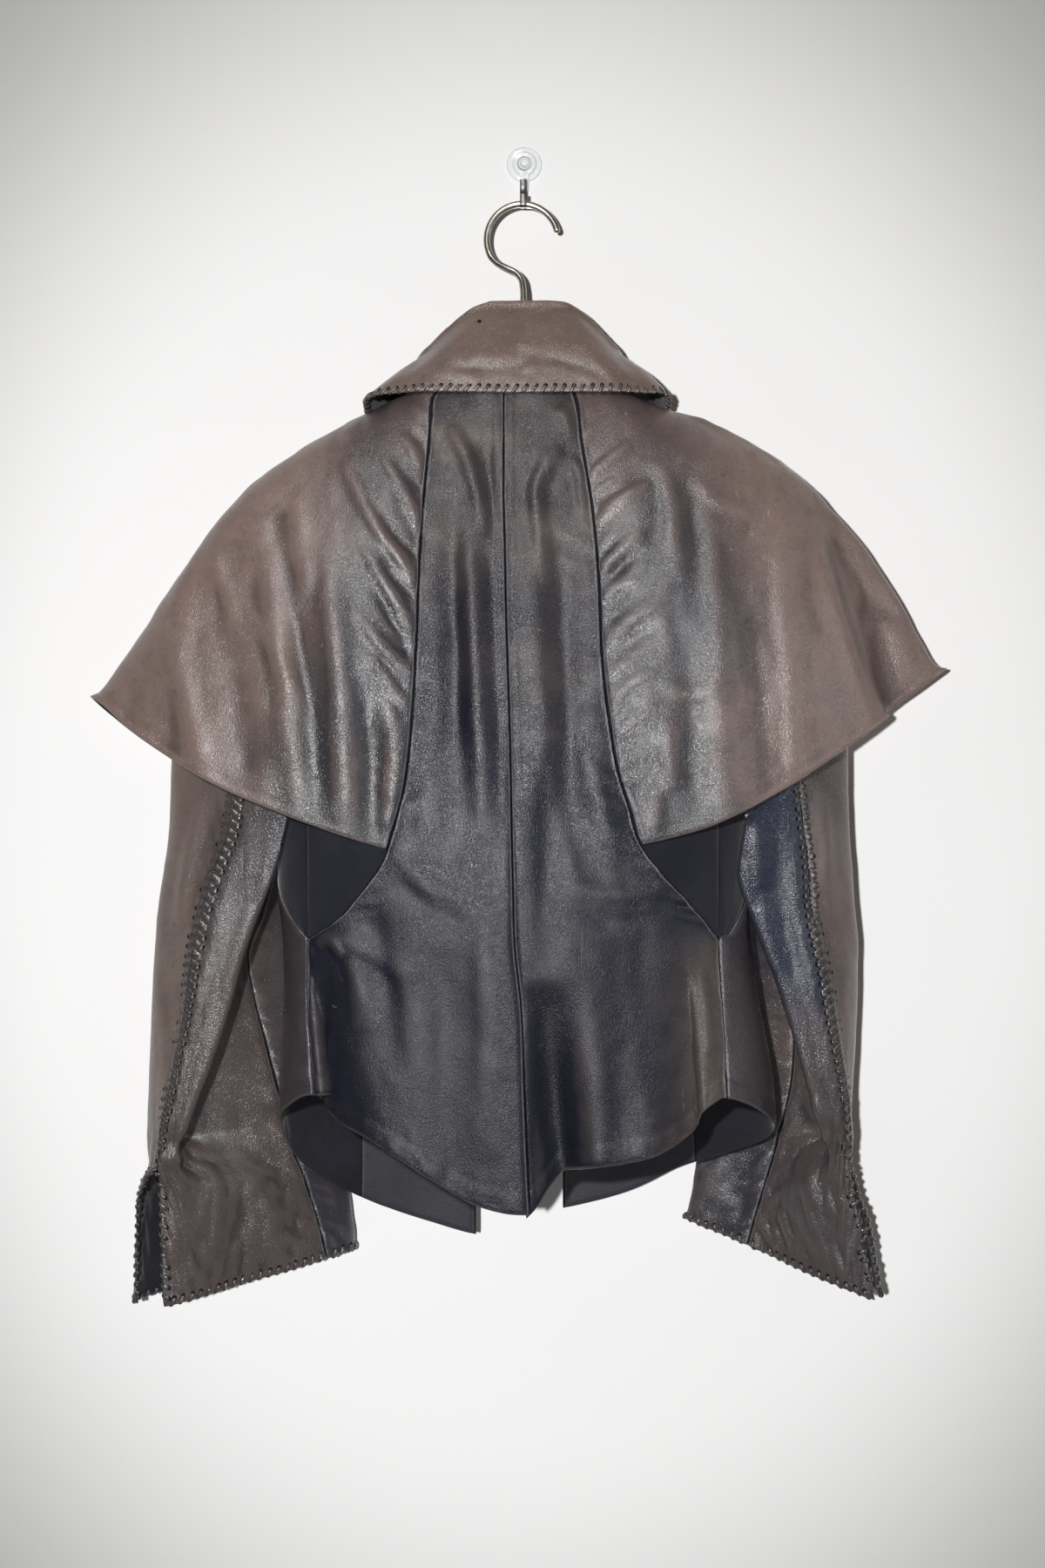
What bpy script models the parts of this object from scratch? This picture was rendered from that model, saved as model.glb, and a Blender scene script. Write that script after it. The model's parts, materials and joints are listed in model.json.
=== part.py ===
"""Worn leather jacket hanging by its back neck from a wire-hooked hanger on a wall cup.

The jacket hangs with its back towards -Y and its front towards the wall, which is the
plane y = 0.  The origin is the middle of the cup's flat face on the wall, +Z is up and
+X is the wearer's right.  Tables are in millimetres; "down" is the drop below the origin.

The body is one form: level rings that are widened superellipses, read by a turn that is
0 at the centre back, 1 at the side and 2 at the centre front.  Every body piece is the
stretch of that form between two seams.  The sleeves are lofts through rings with named
stations, the capelets are fans of rays from the neck, and the collar is a row of bent
strips.  Each piece is an open sheet on the inside of its leather, given its wall outwards
by a Solidify modifier.
"""
import math

import bpy
import numpy as np

MM = 0.001
WALL = 1.5
SEAM = 0.35
LAP = 0.5

SIGN = {"left": -1.0, "right": 1.0}


class Table:
    """Rows of numbers under named columns, read along smooth curves through the rows."""

    def __init__(self, columns, *rows):
        self.columns = columns.split()
        self.rows = np.array(rows, float)

    def read(self, name, at):
        return through(self.rows[:, 0], self.rows[:, self.columns.index(name)], at)


def through(knots, values, at):
    """Cubic curve through values at rising knots, level where they turn, held at the ends."""
    at = np.clip(np.asarray(at, float), knots[0], knots[-1])
    slopes = np.gradient(values, knots, axis=0)
    steps = np.diff(values, axis=0)
    slopes[1:-1][steps[1:] * steps[:-1] <= 0] = 0.0
    cell = np.clip(np.searchsorted(knots, at, side="right") - 1, 0, len(knots) - 2)
    width = knots[cell + 1] - knots[cell]
    t = (at - knots[cell]) / width
    deeper = (1,) * (values.ndim - 1)
    t, width = t.reshape(t.shape + deeper), width.reshape(width.shape + deeper)
    near, far = values[cell], values[cell + 1]
    pull = (far - near) * (3 - 2 * t) * t * t
    ease = slopes[cell] * (1 - t) ** 2 * t - slopes[cell + 1] * (1 - t) * t * t
    return near + pull + ease * width


def unit(vectors):
    return vectors / np.maximum(np.linalg.norm(vectors, axis=-1, keepdims=True), 1e-9)


# ---------------------------------------------------------------- the body's form

ROUND = 0.83
SHOULDER_DOWN = 255.0
WAIST_DOWN = 584.0
CENTRE_FRONT_X = {"left": -36.0, "right": 29.0}

OUTLINE = Table(
    "down left right centre back side front",
    (176, -56, 42, -14, -66, -44, -24),
    (184, -74, 60, -15, -71, -46, -24),
    (199, -106, 100, -15, -76, -50, -25),
    (218, -139, 143, -15, -82, -54, -26),
    (235, -166, 174, -15, -87, -58, -27),
    (255, -194, 196, -15, -91, -61, -28),
    (300, -195, 193, -14, -99, -63, -29),
    (350, -190, 183, -13, -106, -64, -30),
    (445, -181, 169, -10, -118, -65, -31),
    (505, -180, 163, -9, -123, -66, -31),
    (550, -179, 162, -8, -127, -67, -32),
    (586, -175, 164, -7, -130, -68, -32),
    (633, -174, 170, -2, -134, -70, -32),
    (690, -177, 181, 0, -139, -72, -32),
    (740, -177, 185, 2, -143, -73, -31),
    (815, -178, 186, 6, -148, -74, -30),
)

NECK = Table(
    "turn down",
    (0.0, 176), (0.5, 178), (1.0, 184), (1.45, 192), (1.66, 204), (1.78, 222), (1.9, 242), (2.0, 250),
)

HEM = Table(
    "turn left right",
    (0.00, 775, 779), (0.05, 773, 751), (0.10, 768, 745), (0.20, 751, 740), (0.30, 735, 733),
    (0.38, 724, 720), (0.44, 717, 706), (0.49, 708, 699), (0.53, 699, 696), (0.62, 695, 700),
    (0.80, 705, 713), (1.00, 719, 724), (1.20, 746, 735), (1.47, 773, 749), (1.63, 788, 760),
    (1.78, 801, 778), (1.90, 811, 788), (2.00, 815, 795),
)

# A fold's line runs from x_top to x_hem; it grows from its top to the hem.  Depth is
# inwards, lean is sideways, and the two spreads are towards the centre and the side.
FOLDS = {
    "left": Table(
        "down_top x_top x_hem depth spread_in spread_side lean",
        (598, -141, -127, 17, 20, 5, -11),
        (560, -45, -38, 3, 22, 22, 0),
    ),
    "right": Table(
        "down_top x_top x_hem depth spread_in spread_side lean",
        (600, 12, 25, 15, 13, 17, 0),
        (590, 112, 120, 12, 20, 6, 5),
        (560, 70, 66, 5, 15, 15, 0),
    ),
}


def body(side, turn, down, lift=0.0):
    """Point of the body's form at a turn and a drop, moved out by lift along its ring."""
    centre = OUTLINE.read("centre", down)
    middle = OUTLINE.read("side", down)
    reach = (OUTLINE.read(side, down) - centre) * SIGN[side] + lift
    depth = np.where(turn < 1, OUTLINE.read("back", down) - lift, OUTLINE.read("front", down) + lift)
    sine = np.clip(np.sin(turn * math.pi / 2), 0, 1) ** ROUND
    cosine = np.abs(np.cos(turn * math.pi / 2)) ** ROUND
    x = centre + SIGN[side] * reach * sine
    y = middle + (depth - middle) * cosine
    x, y = fold(side, turn, down, x, y)
    return np.stack(np.broadcast_arrays(x, y, -down), axis=-1)


def fold(side, turn, down, x, y):
    """The peplum's hanging folds: bell-shaped dents that lean, growing to the hem."""
    on_back = np.clip((1.0 - turn) / 0.2, 0, 1)
    sunk, moved = np.zeros_like(x), np.zeros_like(x)
    for top, x_top, x_hem, depth, spread_in, spread_side, lean in FOLDS[side].rows:
        grown = np.clip((down - top) / (HEM.rows[0, 1] - 50 - top), 0, 1.25)
        away = (x - (x_top + (x_hem - x_top) * grown)) * SIGN[side]
        spread = np.where(away < 0, spread_in, spread_side)
        bell = np.exp(-((away / spread) ** 2)) * on_back * grown ** 0.7
        sunk = sunk + depth * bell
        moved = moved + lean * bell
    return x + moved, y + sunk


def turn_at(side, x, down, front=False):
    """Turn of the point of a level ring that lies at x, on the back or on the front."""
    centre = OUTLINE.read("centre", down)
    reach = np.abs(OUTLINE.read(side, down) - centre)
    share = np.clip(np.abs(x - centre) / reach, 0, 1) ** (1 / ROUND)
    turn = np.arcsin(share) * 2 / math.pi
    return 2 - turn if front else turn


# Rows shared by every body piece, so that neighbours meet at the same points of a seam:
# shares of the way from the neck to the shoulder, drops down to the waist, and shares of
# the way from the waist to the hem.
NECK_SHARES = (0.0, 0.2, 0.45, 0.7)
LEVELS = (255, 275, 300, 350, 400, 445, 485, 519, 545, 566)
HEM_SHARES = (0.0, 0.2, 0.4, 0.6, 0.8, 1.0)
UNDERARM_DOWN = 445.0


def rows_between(side, turn, first, last):
    """Drops of the shared rows from row first to row last, at a turn."""
    turn = np.asarray(turn, float)
    neck, hem = NECK.read("down", turn), HEM.read(side, turn)
    drops = [neck + (SHOULDER_DOWN - neck) * share for share in NECK_SHARES]
    drops += [np.full_like(turn, level) for level in LEVELS]
    drops += [WAIST_DOWN + (hem - WAIST_DOWN) * share for share in HEM_SHARES]
    return np.stack(drops)[first:last + 1]


NECK_ROW = 0
WAIST_ROW = len(NECK_SHARES) + len(LEVELS)
TIP_ROW = WAIST_ROW - 1
HEM_ROW = WAIST_ROW + len(HEM_SHARES) - 1


def stretch(side, inner, outer, shares, first, last, lift=0.0):
    """Grid of the form between two seams, each a function of the drop that gives a turn.

    A row's drop depends on the turn and the turn on the drop, so they are found by turns.
    """
    shares = np.asarray(shares, float)
    turn = np.zeros((last - first + 1, len(shares)))
    for _ in range(6):
        columns = [rows_between(side, column, first, last).diagonal() for column in turn.T]
        down = np.stack(columns, axis=1)
        near, far = inner(down), outer(down)
        turn = near + (far - near) * shares
    return body(side, turn, down, lift)


# ---------------------------------------------------------------- seams

BACK_PRINCESS = {
    "left": Table(
        "down x",
        (176, -55), (190, -67), (238, -69.6), (285, -73.6), (330, -75.6), (364, -76.5), (409, -78.5),
        (449, -81.6), (480, -86), (505, -92.6), (527, -99.6), (551, -116.3), (572, -136), (584, -155),
    ),
    "right": Table(
        "down x",
        (176, 32), (188, 36), (224, 41), (277, 49), (335, 53.5), (382, 55), (428, 60),
        (463, 65.8), (493, 75), (516, 82), (536, 97), (560, 119.4), (584, 139),
    ),
}

SIDE_SEAM = {
    "left": Table("down x", (445, -157), (584, -155), (617, -155), (660, -153), (696, -150.5), (720, -150)),
    "right": Table("down x", (445, 140), (584, 139), (617, 140.5), (660, 142.5), (696, 144), (720, 145)),
}

FRONT_PRINCESS = Table(
    "down turn",
    (176, 1.5), (198, 1.68), (255, 1.81), (330, 1.75), (400, 1.66), (445, 1.58), (485, 1.46),
    (519, 1.2), (545, 0.98), (566, 0.8), (584, 0.66),
)

ARMHOLE = Table(
    "down back front",
    (255, 1.0, 1.0), (275, 0.76, 1.24), (300, 0.63, 1.37), (350, 0.54, 1.44), (400, 0.55, 1.36),
    (425, 0.59, 1.12), (445, 0.63, 0.66),
)


def centre_back(side):
    return lambda down: np.zeros_like(down)


def centre_front(side):
    return lambda down: turn_at(side, CENTRE_FRONT_X[side], down, front=True)


def back_edge(side):
    """The back's outer seam: the princess line down to the waist, then the side seam."""
    def seam(down):
        above = BACK_PRINCESS[side].read("x", down)
        below = SIDE_SEAM[side].read("x", down)
        return turn_at(side, np.where(down < WAIST_DOWN, above, below), down)
    return seam


def front_edge(side):
    """The front's outer seam: the front princess line, then the side seam."""
    def seam(down):
        below = turn_at(side, SIDE_SEAM[side].read("x", down), down)
        return np.where(down < WAIST_DOWN, FRONT_PRINCESS.read("turn", down), below)
    return seam


def side_line(side, part):
    """Where the suede's two pieces meet: shoulder seam, armhole edge, then the side line."""
    def seam(down):
        hole = ARMHOLE.read(part, down)
        below = turn_at(side, SIDE_SEAM[side].read("x", down), down)
        return np.where(down <= SHOULDER_DOWN, 1.0, np.where(down < UNDERARM_DOWN, hole, below))
    return seam


# ---------------------------------------------------------------- meshes

def clear_scene():
    for item in list(bpy.data.objects):
        bpy.data.objects.remove(item, do_unlink=True)


def new_collection(name):
    collection = bpy.data.collections.new(name)
    bpy.context.scene.collection.children.link(collection)
    return collection


def new_material(name, colour, roughness, metallic=0.0):
    material = bpy.data.materials.new(name)
    material.use_nodes = True
    shader = material.node_tree.nodes["Principled BSDF"]
    shader.inputs["Base Color"].default_value = (*colour, 1.0)
    shader.inputs["Roughness"].default_value = roughness
    shader.inputs["Metallic"].default_value = metallic
    return material


def trimmed(grid, first=SEAM, last=SEAM, top=0.0, bottom=0.0):
    """The grid with its edges drawn in, so that neighbours stay a seam's width apart."""
    grid = grid.copy()
    grid[:, 0] += first * unit(grid[:, 1] - grid[:, 0])
    grid[:, -1] += last * unit(grid[:, -2] - grid[:, -1])
    grid[0] += top * unit(grid[1] - grid[0])
    grid[-1] += bottom * unit(grid[-2] - grid[-1])
    return grid


def add_sheet(name, grid, material, flip=False, wall=WALL, even=True):
    """A leather piece: its grid as an open sheet with a wall of leather outwards."""
    rows, columns = grid.shape[:2]
    index = np.arange(rows * columns).reshape(rows, columns)
    corners = [index[:-1, :-1], index[1:, :-1], index[1:, 1:], index[:-1, 1:]]
    if flip:
        corners.reverse()
    faces = np.stack(corners, axis=-1).reshape(-1, 4)
    mesh = bpy.data.meshes.new(name)
    mesh.from_pydata((grid.reshape(-1, 3) * MM).tolist(), [], faces.tolist())
    mesh.materials.append(material)
    mesh.shade_smooth()
    piece = bpy.data.objects.new(name, mesh)
    jacket.objects.link(piece)
    leather = piece.modifiers.new("Leather wall", "SOLIDIFY")
    leather.thickness = wall * MM
    leather.offset = 1.0
    leather.use_even_offset = even
    return piece


def add_tube(name, path, radius, material, resolution):
    """A round bar or wire along a path, as a bevelled curve with filled ends."""
    curve = bpy.data.curves.new(name, "CURVE")
    curve.dimensions = "3D"
    curve.bevel_depth = radius * MM
    curve.bevel_resolution = resolution
    curve.use_fill_caps = True
    spline = curve.splines.new("POLY")
    spline.points.add(len(path) - 1)
    flat = np.concatenate([np.asarray(path) * MM, np.ones((len(path), 1))], axis=1)
    spline.points.foreach_set("co", flat.ravel())
    curve.materials.append(material)
    piece = bpy.data.objects.new(name, curve)
    jacket.objects.link(piece)
    return piece


clear_scene()
jacket = new_collection("Worn leather jacket")
back_leather = new_material("Back leather", (0.085, 0.080, 0.092), 0.42)
cape_leather = new_material("Shoulder leather", (0.16, 0.125, 0.115), 0.42)
sleeve_leather = new_material("Sleeve leather", (0.11, 0.10, 0.105), 0.42)
navy_leather = new_material("Navy leather", (0.05, 0.052, 0.075), 0.45)
suede = new_material("Navy suede", (0.022, 0.022, 0.035), 0.95)
facing_leather = new_material("Facing leather", (0.06, 0.062, 0.075), 0.6)
steel = new_material("Hanger steel", (0.55, 0.53, 0.50), 0.3, 1.0)
plastic = new_material("Clear plastic", (0.85, 0.87, 0.88), 0.15)

# ---------------------------------------------------------------- back, sides and fronts

BACK_SHARES = {
    "left": (0, 0.12, 0.26, 0.42, 0.58, 0.70, 0.76, 0.81, 0.86, 0.92, 1),
    "right": (0, 0.05, 0.12, 0.22, 0.36, 0.52, 0.66, 0.75, 0.82, 0.90, 1),
}
SIDE_BACK_SHARES = (0, 0.35, 0.66, 0.88, 1)
SIDE_FRONT_SHARES = (0, 0.12, 0.36, 0.66, 1)
FRONT_SHARES = (0, 0.18, 0.36, 0.55, 0.73, 0.82, 0.91, 1)
FACING_COLUMN = 4
FACING_INSET = 1.0
VENT_ROW = WAIST_ROW + 1
VENT_UNDERLAP = 3.0
VENT_TUCK = 4.0


def moved_out(grid, distance):
    """The grid moved along its own normals, which point from its rounds across its drops."""
    down_step = np.gradient(grid, axis=0)
    round_step = np.gradient(grid, axis=1)
    return grid + distance * unit(np.cross(round_step, down_step))


def vent_right(grid):
    """The right back tucks behind the left one below the top of the vent."""
    grid = grid.copy()
    below = np.clip((np.arange(len(grid)) - VENT_ROW + 1) / 2.0, 0, 1)[:, None]
    near = np.clip(1 - np.abs(grid[:, :, 0] - grid[:, :1, 0]) / 22.0, 0, 1)
    grid[:, :, 1] += VENT_TUCK * below * near
    grid[:, :, 0] -= VENT_UNDERLAP * below * near ** 3
    return grid


for side in SIGN:
    mirrored = side == "right"
    back = stretch(side, centre_back(side), back_edge(side), BACK_SHARES[side], NECK_ROW, HEM_ROW)
    if side == "right":
        back = vent_right(back)
    add_sheet(f"back_{side}", trimmed(back), back_leather, flip=not mirrored)

    hole_back, hole_front = side_line(side, "back"), side_line(side, "front")
    side_back = stretch(side, back_edge(side), hole_back, SIDE_BACK_SHARES, NECK_ROW, TIP_ROW)
    add_sheet(f"side_back_{side}", trimmed(side_back), suede, flip=not mirrored)

    side_front = stretch(side, hole_front, front_edge(side), SIDE_FRONT_SHARES, NECK_ROW, TIP_ROW)
    add_sheet(f"side_front_{side}", trimmed(side_front), suede, flip=not mirrored)

    front = stretch(side, front_edge(side), centre_front(side), FRONT_SHARES, NECK_ROW, HEM_ROW)
    add_sheet(f"front_{side}", trimmed(front), navy_leather, flip=not mirrored)

    facing = moved_out(front[:, FACING_COLUMN:], SIGN[side] * (WALL + LAP))
    facing = trimmed(facing, last=FACING_INSET, bottom=FACING_INSET)
    add_sheet(f"facing_{side}", facing, facing_leather, flip=not mirrored)

# ---------------------------------------------------------------- sleeves

# Rings of a sleeve, from its cap to its cuff.  "down" is the drop of the outer edge and
# "rise" how much higher the inner edge is.  The outer edge, laced seam, fold, valley
# behind the fold, plain seam and inner edge are places across; y_... are their depths.
RING_COLUMNS = ("down rise x_out x_lace y_lace x_fold y_fold x_valley y_valley "
                "x_seam y_seam x_inner y_inner")
SLEEVE_RINGS = {
    "left": Table(
        RING_COLUMNS,
        (345, -118, -243, -202, -95, -170, -104, -192, -85, -187, -58, -177, -38),
        (425, -60, -256, -207, -94, -170, -103, -192, -81, -186, -54, -175, -33),
        (505, 0, -261, -212, -92, -172, -101, -192, -78, -184, -50, -171, -27),
        (537, 0, -266, -223.5, -91, -182, -98, -200, -75, -187, -48, -168, -26),
        (569, 0, -270, -232.5, -91, -194, -95, -211, -72, -195, -48, -166, -24),
        (601, 0, -272, -238.5, -91, -206, -93, -224, -69, -206, -50, -164, -22),
        (633, 0, -273, -243, -91, -214, -92, -231, -67, -201, -46, -161, -21),
        (665, 0, -274, -249.5, -91, -223.5, -92, -236, -65, -193, -43, -157, -20),
        (697, 0, -275.5, -256, -91, -236, -92, -246, -64, -185, -41, -152, -18),
        (729, 0, -277, -262.5, -91, -248, -91, -254, -66, -177, -38, -147, -16),
        (748, 0, -276, -265, -90, -252, -88, -248, -72, -173, -37, -142, -15),
        (768, 6, -280, -264.5, -88, -244, -83, -222, -68, -167, -36, -138, -14),
        (800, 10, -284, -264, -86, -240, -80, -212, -64, -158, -33, -133, -13),
        (858, 33, -288, -262.5, -85, -236, -76, -205, -58, -148, -30, -129, -12),
    ),
    "right": Table(
        RING_COLUMNS,
        (345, -118, 228, 190, -95, 157, -104, 180, -85, 178, -58, 171, -38),
        (425, -60, 236, 196, -94, 160, -103, 180, -81, 177, -54, 171, -33),
        (505, 0, 238.5, 201.5, -92, 160, -99, 177, -76, 178, -50, 173, -29),
        (537, 0, 241, 205.5, -91, 155.5, -95, 173, -72, 177, -47, 172, -27),
        (569, 0, 243, 208, -91, 165.5, -93, 179, -70, 180, -47, 169, -25),
        (601, 0, 245, 214.5, -91, 178, -92, 191, -68, 186, -47, 162, -23),
        (633, 0, 244.5, 220.5, -91, 188.5, -91, 202, -66, 195, -48, 156, -21),
        (665, 0, 242.5, 226.5, -90, 198.5, -91, 211, -65, 201, -47, 151, -20),
        (697, 0, 240, 232, -88, 208, -90, 219, -64, 199, -44, 147, -18),
        (729, 0, 238.5, 235, -84, 219, -87, 227, -64, 192, -41, 141, -16),
        (745, 0, 237.5, 235.5, -81, 222, -82, 220, -68, 188, -40, 135, -15),
        (768, -4, 243, 239, -80, 224, -77, 205, -64, 181, -38, 130, -14),
        (800, 2, 253, 246.5, -79, 226, -74, 203, -60, 173, -35, 125, -13),
        (852, 50, 264, 256, -78, 228, -70, 200, -55, 168, -33, 122, -12),
    ),
}

# Stations round a ring: 0 outer edge, 1 laced seam, 2 near side, 3 fold, 4 valley, 5 plain
# seam, 6 inner edge, 7 to 9 the side towards the wall.

# A walk round the armhole, station by station: down its back edge, under, up its front.
ARMHOLE_WALK = Table(
    "station down lift",
    (0, 255, 3.4), (1, 350, 4.1), (2, 394, 4.0), (3, 426, 3.8), (4, 441, 3.8), (4.6, 444, 3.8),
    (5, 438, 3.8), (6, 415, 3.6), (7, 380, 3.0), (8, 335, 2.6), (9, 288, 2.4), (10, 255, 2.2),
)
UNDERARM_STATION = 4.6
SLIT_DOWN = 748.0
SLIT_FADE = 30.0
SLIT_SHIFT = {"left": (23.0, 33.0), "right": (6.0, 18.0)}
SLIT_OUTER_SHIFT = 22.0
Y_OUT = -60.0
NEAR_BULGE = 2.5
WALL_SIDE_Y = -9.0
WALL_SIDE_LEAN = 18.0
WALL_SIDE_FROM, WALL_SIDE_TO = 345.0, 620.0


def armhole_edge(side, stations):
    """The sleeve's top edge at station numbers, just outside the edge of the armhole."""
    stations = np.asarray(stations, float)
    down = ARMHOLE_WALK.read("down", stations)
    back, front = ARMHOLE.read("back", down), ARMHOLE.read("front", down)
    turn = np.where(stations < UNDERARM_STATION, back, front)
    return body(side, turn, down, ARMHOLE_WALK.read("lift", stations))


def sleeve_ring(side, row, slit_gape):
    """The stations of one ring; slit_gape draws the laced seam's upper-sleeve edge back."""
    table = SLEEVE_RINGS[side]
    get = dict(zip(table.columns, table.rows[row]))
    out = SIGN[side]
    width = abs(get["x_out"] - get["x_inner"])
    gape = slit_gape * np.clip((get["down"] - SLIT_DOWN) / SLIT_FADE, 0, 1)
    x_lace = get["x_lace"] + out * gape * SLIT_SHIFT[side][0]
    y_lace = get["y_lace"] + gape * SLIT_SHIFT[side][1]
    raised = np.clip((WALL_SIDE_TO - get["down"]) / (WALL_SIDE_TO - WALL_SIDE_FROM), 0, 1)
    front_y = WALL_SIDE_Y - WALL_SIDE_LEAN * raised
    x_near = (get["x_lace"] + get["x_fold"]) / 2
    y_near = (get["y_lace"] + get["y_fold"]) / 2 - NEAR_BULGE
    places = (
        (get["x_out"], Y_OUT + gape * SLIT_OUTER_SHIFT),
        (x_lace, y_lace),
        (x_near, y_near),
        (get["x_fold"], get["y_fold"]),
        (get["x_valley"], get["y_valley"]),
        (get["x_seam"], get["y_seam"]),
        (get["x_inner"], get["y_inner"]),
        (get["x_inner"] + out * 0.22 * width, front_y + 2),
        (get["x_inner"] + out * 0.56 * width, front_y),
        (get["x_out"] - out * 0.10 * width, front_y - 16),
    )
    ring = [(x, y, -get["down"] + get["rise"] * abs(x - get["x_out"]) / width) for x, y in places]
    return np.array(ring)


def sleeve_net(side, slit_gape):
    """All rings of a sleeve: the armhole's and the table's."""
    count = len(SLEEVE_RINGS[side].rows)
    rings = [sleeve_ring(side, row, slit_gape) for row in range(count)]
    return np.array([armhole_edge(side, range(10))] + rings)


def on_net(net, rows, stations):
    """Grid of points on a closed sleeve net at given row numbers and station numbers."""
    count = net.shape[1]
    around = np.concatenate([net[:, -3:], net, net[:, :3]], axis=1)
    knots = np.arange(-3, count + 3, dtype=float)
    stations = np.asarray(stations, float)
    stations = np.where(stations > count + 2, stations - count, stations)
    across = np.swapaxes(through(knots, np.swapaxes(around, 0, 1), stations), 0, 1)
    return through(np.arange(len(net), dtype=float), across, np.asarray(rows, float))


SLEEVE_ROWS = (0, 0.5, 1, 2, 3, 4.5, 6, 7.5, 9, 10, 11, 12, 13, 14)
UNDER_STATIONS = (1, 1.6, 2.2, 2.75, 3.15, 3.6, 4, 4.5, 5)
UPPER_STATIONS = (5, 5.6, 6.2, 7, 8, 8.7, 9.3, 9.7, 10, 10.4, 11)
LACED_GAP = 0.5
TUCKED_SEAM = 1.4

for side in SIGN:
    mirrored = side == "right"
    upper = on_net(sleeve_net(side, 1.0), SLEEVE_ROWS, np.mod(UPPER_STATIONS, 10))
    under = on_net(sleeve_net(side, 0.0), SLEEVE_ROWS, UNDER_STATIONS)
    upper[0] = armhole_edge(side, np.mod(UPPER_STATIONS, 10))
    under[0] = armhole_edge(side, UNDER_STATIONS)
    upper = trimmed(upper, TUCKED_SEAM, LACED_GAP)
    under = trimmed(under, LACED_GAP, TUCKED_SEAM)
    add_sheet(f"upper_sleeve_{side}", upper, sleeve_leather, flip=mirrored, even=False)
    add_sheet(f"under_sleeve_{side}", under, navy_leather, flip=mirrored, even=False)

# ---------------------------------------------------------------- capelets

# Rays of a capelet, seen from behind: where each lies a quarter, a half, three quarters
# and all of its way from the neck.  The first is the back princess seam and the rays of
# the front are the back's, turned over about the shoulder's depth.
RAY_COLUMNS = "share x1 y1 z1 x2 y2 z2 x3 y3 z3 x4 y4 z4"
CAPE_RAYS = {
    "left": Table(
        RAY_COLUMNS,
        (0.14, -86, -99, -262, -102, -112, -345, -119, -122, -425, -137, -124, -507),
        (0.26, -106, -97, -251, -141, -110, -327, -179, -115, -402, -218, -111, -475),
        (0.37, -133, -87, -233, -189, -94, -300, -240, -95, -369, -284, -88, -435),
        (0.44, -142, -75, -218, -214, -80, -274, -262, -80, -345, -308, -76, -415),
        (0.50, -144, -59, -212, -217, -60, -263, -269, -61, -336, -319, -61, -410),
    ),
    "right": Table(
        RAY_COLUMNS,
        (0.12, 63, -98, -258, 89, -112, -338, 112, -121, -420, 135, -122, -502),
        (0.23, 88, -95, -247, 124, -109, -322, 160, -113, -398, 190, -109, -474),
        (0.33, 116, -88, -233, 162, -99, -300, 203, -101, -371, 238, -95, -443),
        (0.40, 134, -76, -221, 200, -84, -281, 243, -85, -350, 265, -82, -424),
        (0.45, 140, -66, -214, 207, -68, -268, 246, -62, -345, 267, -56, -420),
        (0.51, 143, -59, -209, 213, -57, -253, 268.5, -51, -317, 314, -46, -388),
        (0.57, 141, -45, -214, 208, -38, -263, 259, -32, -335, 291, -25, -404),
    ),
}
SHOULDER_PLANE_Y = -60.0
NECK_TURNS = (0.42, 1.66)
TURNED_RAYS = 3
CAPE_FRONT_DROP = 6.0
CAPE_COLUMNS = {
    "left": (0, 0.07, 0.14, 0.20, 0.26, 0.315, 0.37, 0.435, 0.50, 0.565, 0.63, 0.69, 0.76, 0.86, 1),
    "right": (0, 0.06, 0.12, 0.175, 0.23, 0.28, 0.33, 0.37, 0.40, 0.425, 0.45, 0.48, 0.51, 0.54, 0.57,
              0.62, 0.67, 0.77, 0.88, 1),
}
CAPE_ROWS = (0, 0.05, 0.12, 0.2, 0.3, 0.42, 0.54, 0.66, 0.78, 0.89, 1)
CAPE_LIFT = WALL + LAP
CAPE_CLEAR = WALL + 2.6
CAPE_SEAM_DOWN = {"left": 519.0, "right": 516.0}
CAPE_EDGE = 1.6
NECK_ROOM = 4.0
HIGHEST_LIFT = 12.0
GROUND_DOWN = 545.0


def below_neck(turn):
    """Drop of a capelet's neck edge, just under the body's, and more so at the front."""
    return NECK.read("down", turn) + NECK_ROOM * np.where(turn > 1, 3, 1)


def seam_ray(side, seam, shares):
    """A capelet's edge: a princess seam of the body from the neck to the capelet's hem."""
    neck = np.array(NECK.rows[0, 1])
    for _ in range(6):
        turn = seam(neck)
        neck = below_neck(turn)
    down = neck + (CAPE_SEAM_DOWN[side] - neck) * np.asarray(shares, float)
    return body(side, seam(down), down, CAPE_LIFT)


def cape_neck(side, share):
    """Where a ray leaves the neck seam."""
    turn = np.array(NECK_TURNS[0] + (NECK_TURNS[1] - NECK_TURNS[0]) * share)
    return body(side, turn, below_neck(turn), CAPE_LIFT)


def cape_net(side):
    """Stations of the capelet: rays from the back seam over the shoulder to the front."""
    quarters = (0, 0.25, 0.5, 0.75, 1)
    shares, rays = [0.0], [seam_ray(side, back_edge(side), quarters)]
    table = CAPE_RAYS[side].rows
    for row in table:
        shares.append(row[0])
        rays.append(np.vstack([cape_neck(side, row[0]), row[1:].reshape(4, 3)]))
    for row in table[TURNED_RAYS - 1::-1]:
        points = row[1:].reshape(4, 3).copy()
        points[:, 1] = 2 * SHOULDER_PLANE_Y - points[:, 1]
        points[:, 2] -= CAPE_FRONT_DROP * np.array(quarters[1:])
        shares.append(1 - row[0])
        rays.append(np.vstack([cape_neck(side, 1 - row[0]), points]))
    shares.append(1.0)
    rays.append(seam_ray(side, front_edge(side), quarters))
    return np.array(shares), np.array(quarters), np.array(rays)


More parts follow.
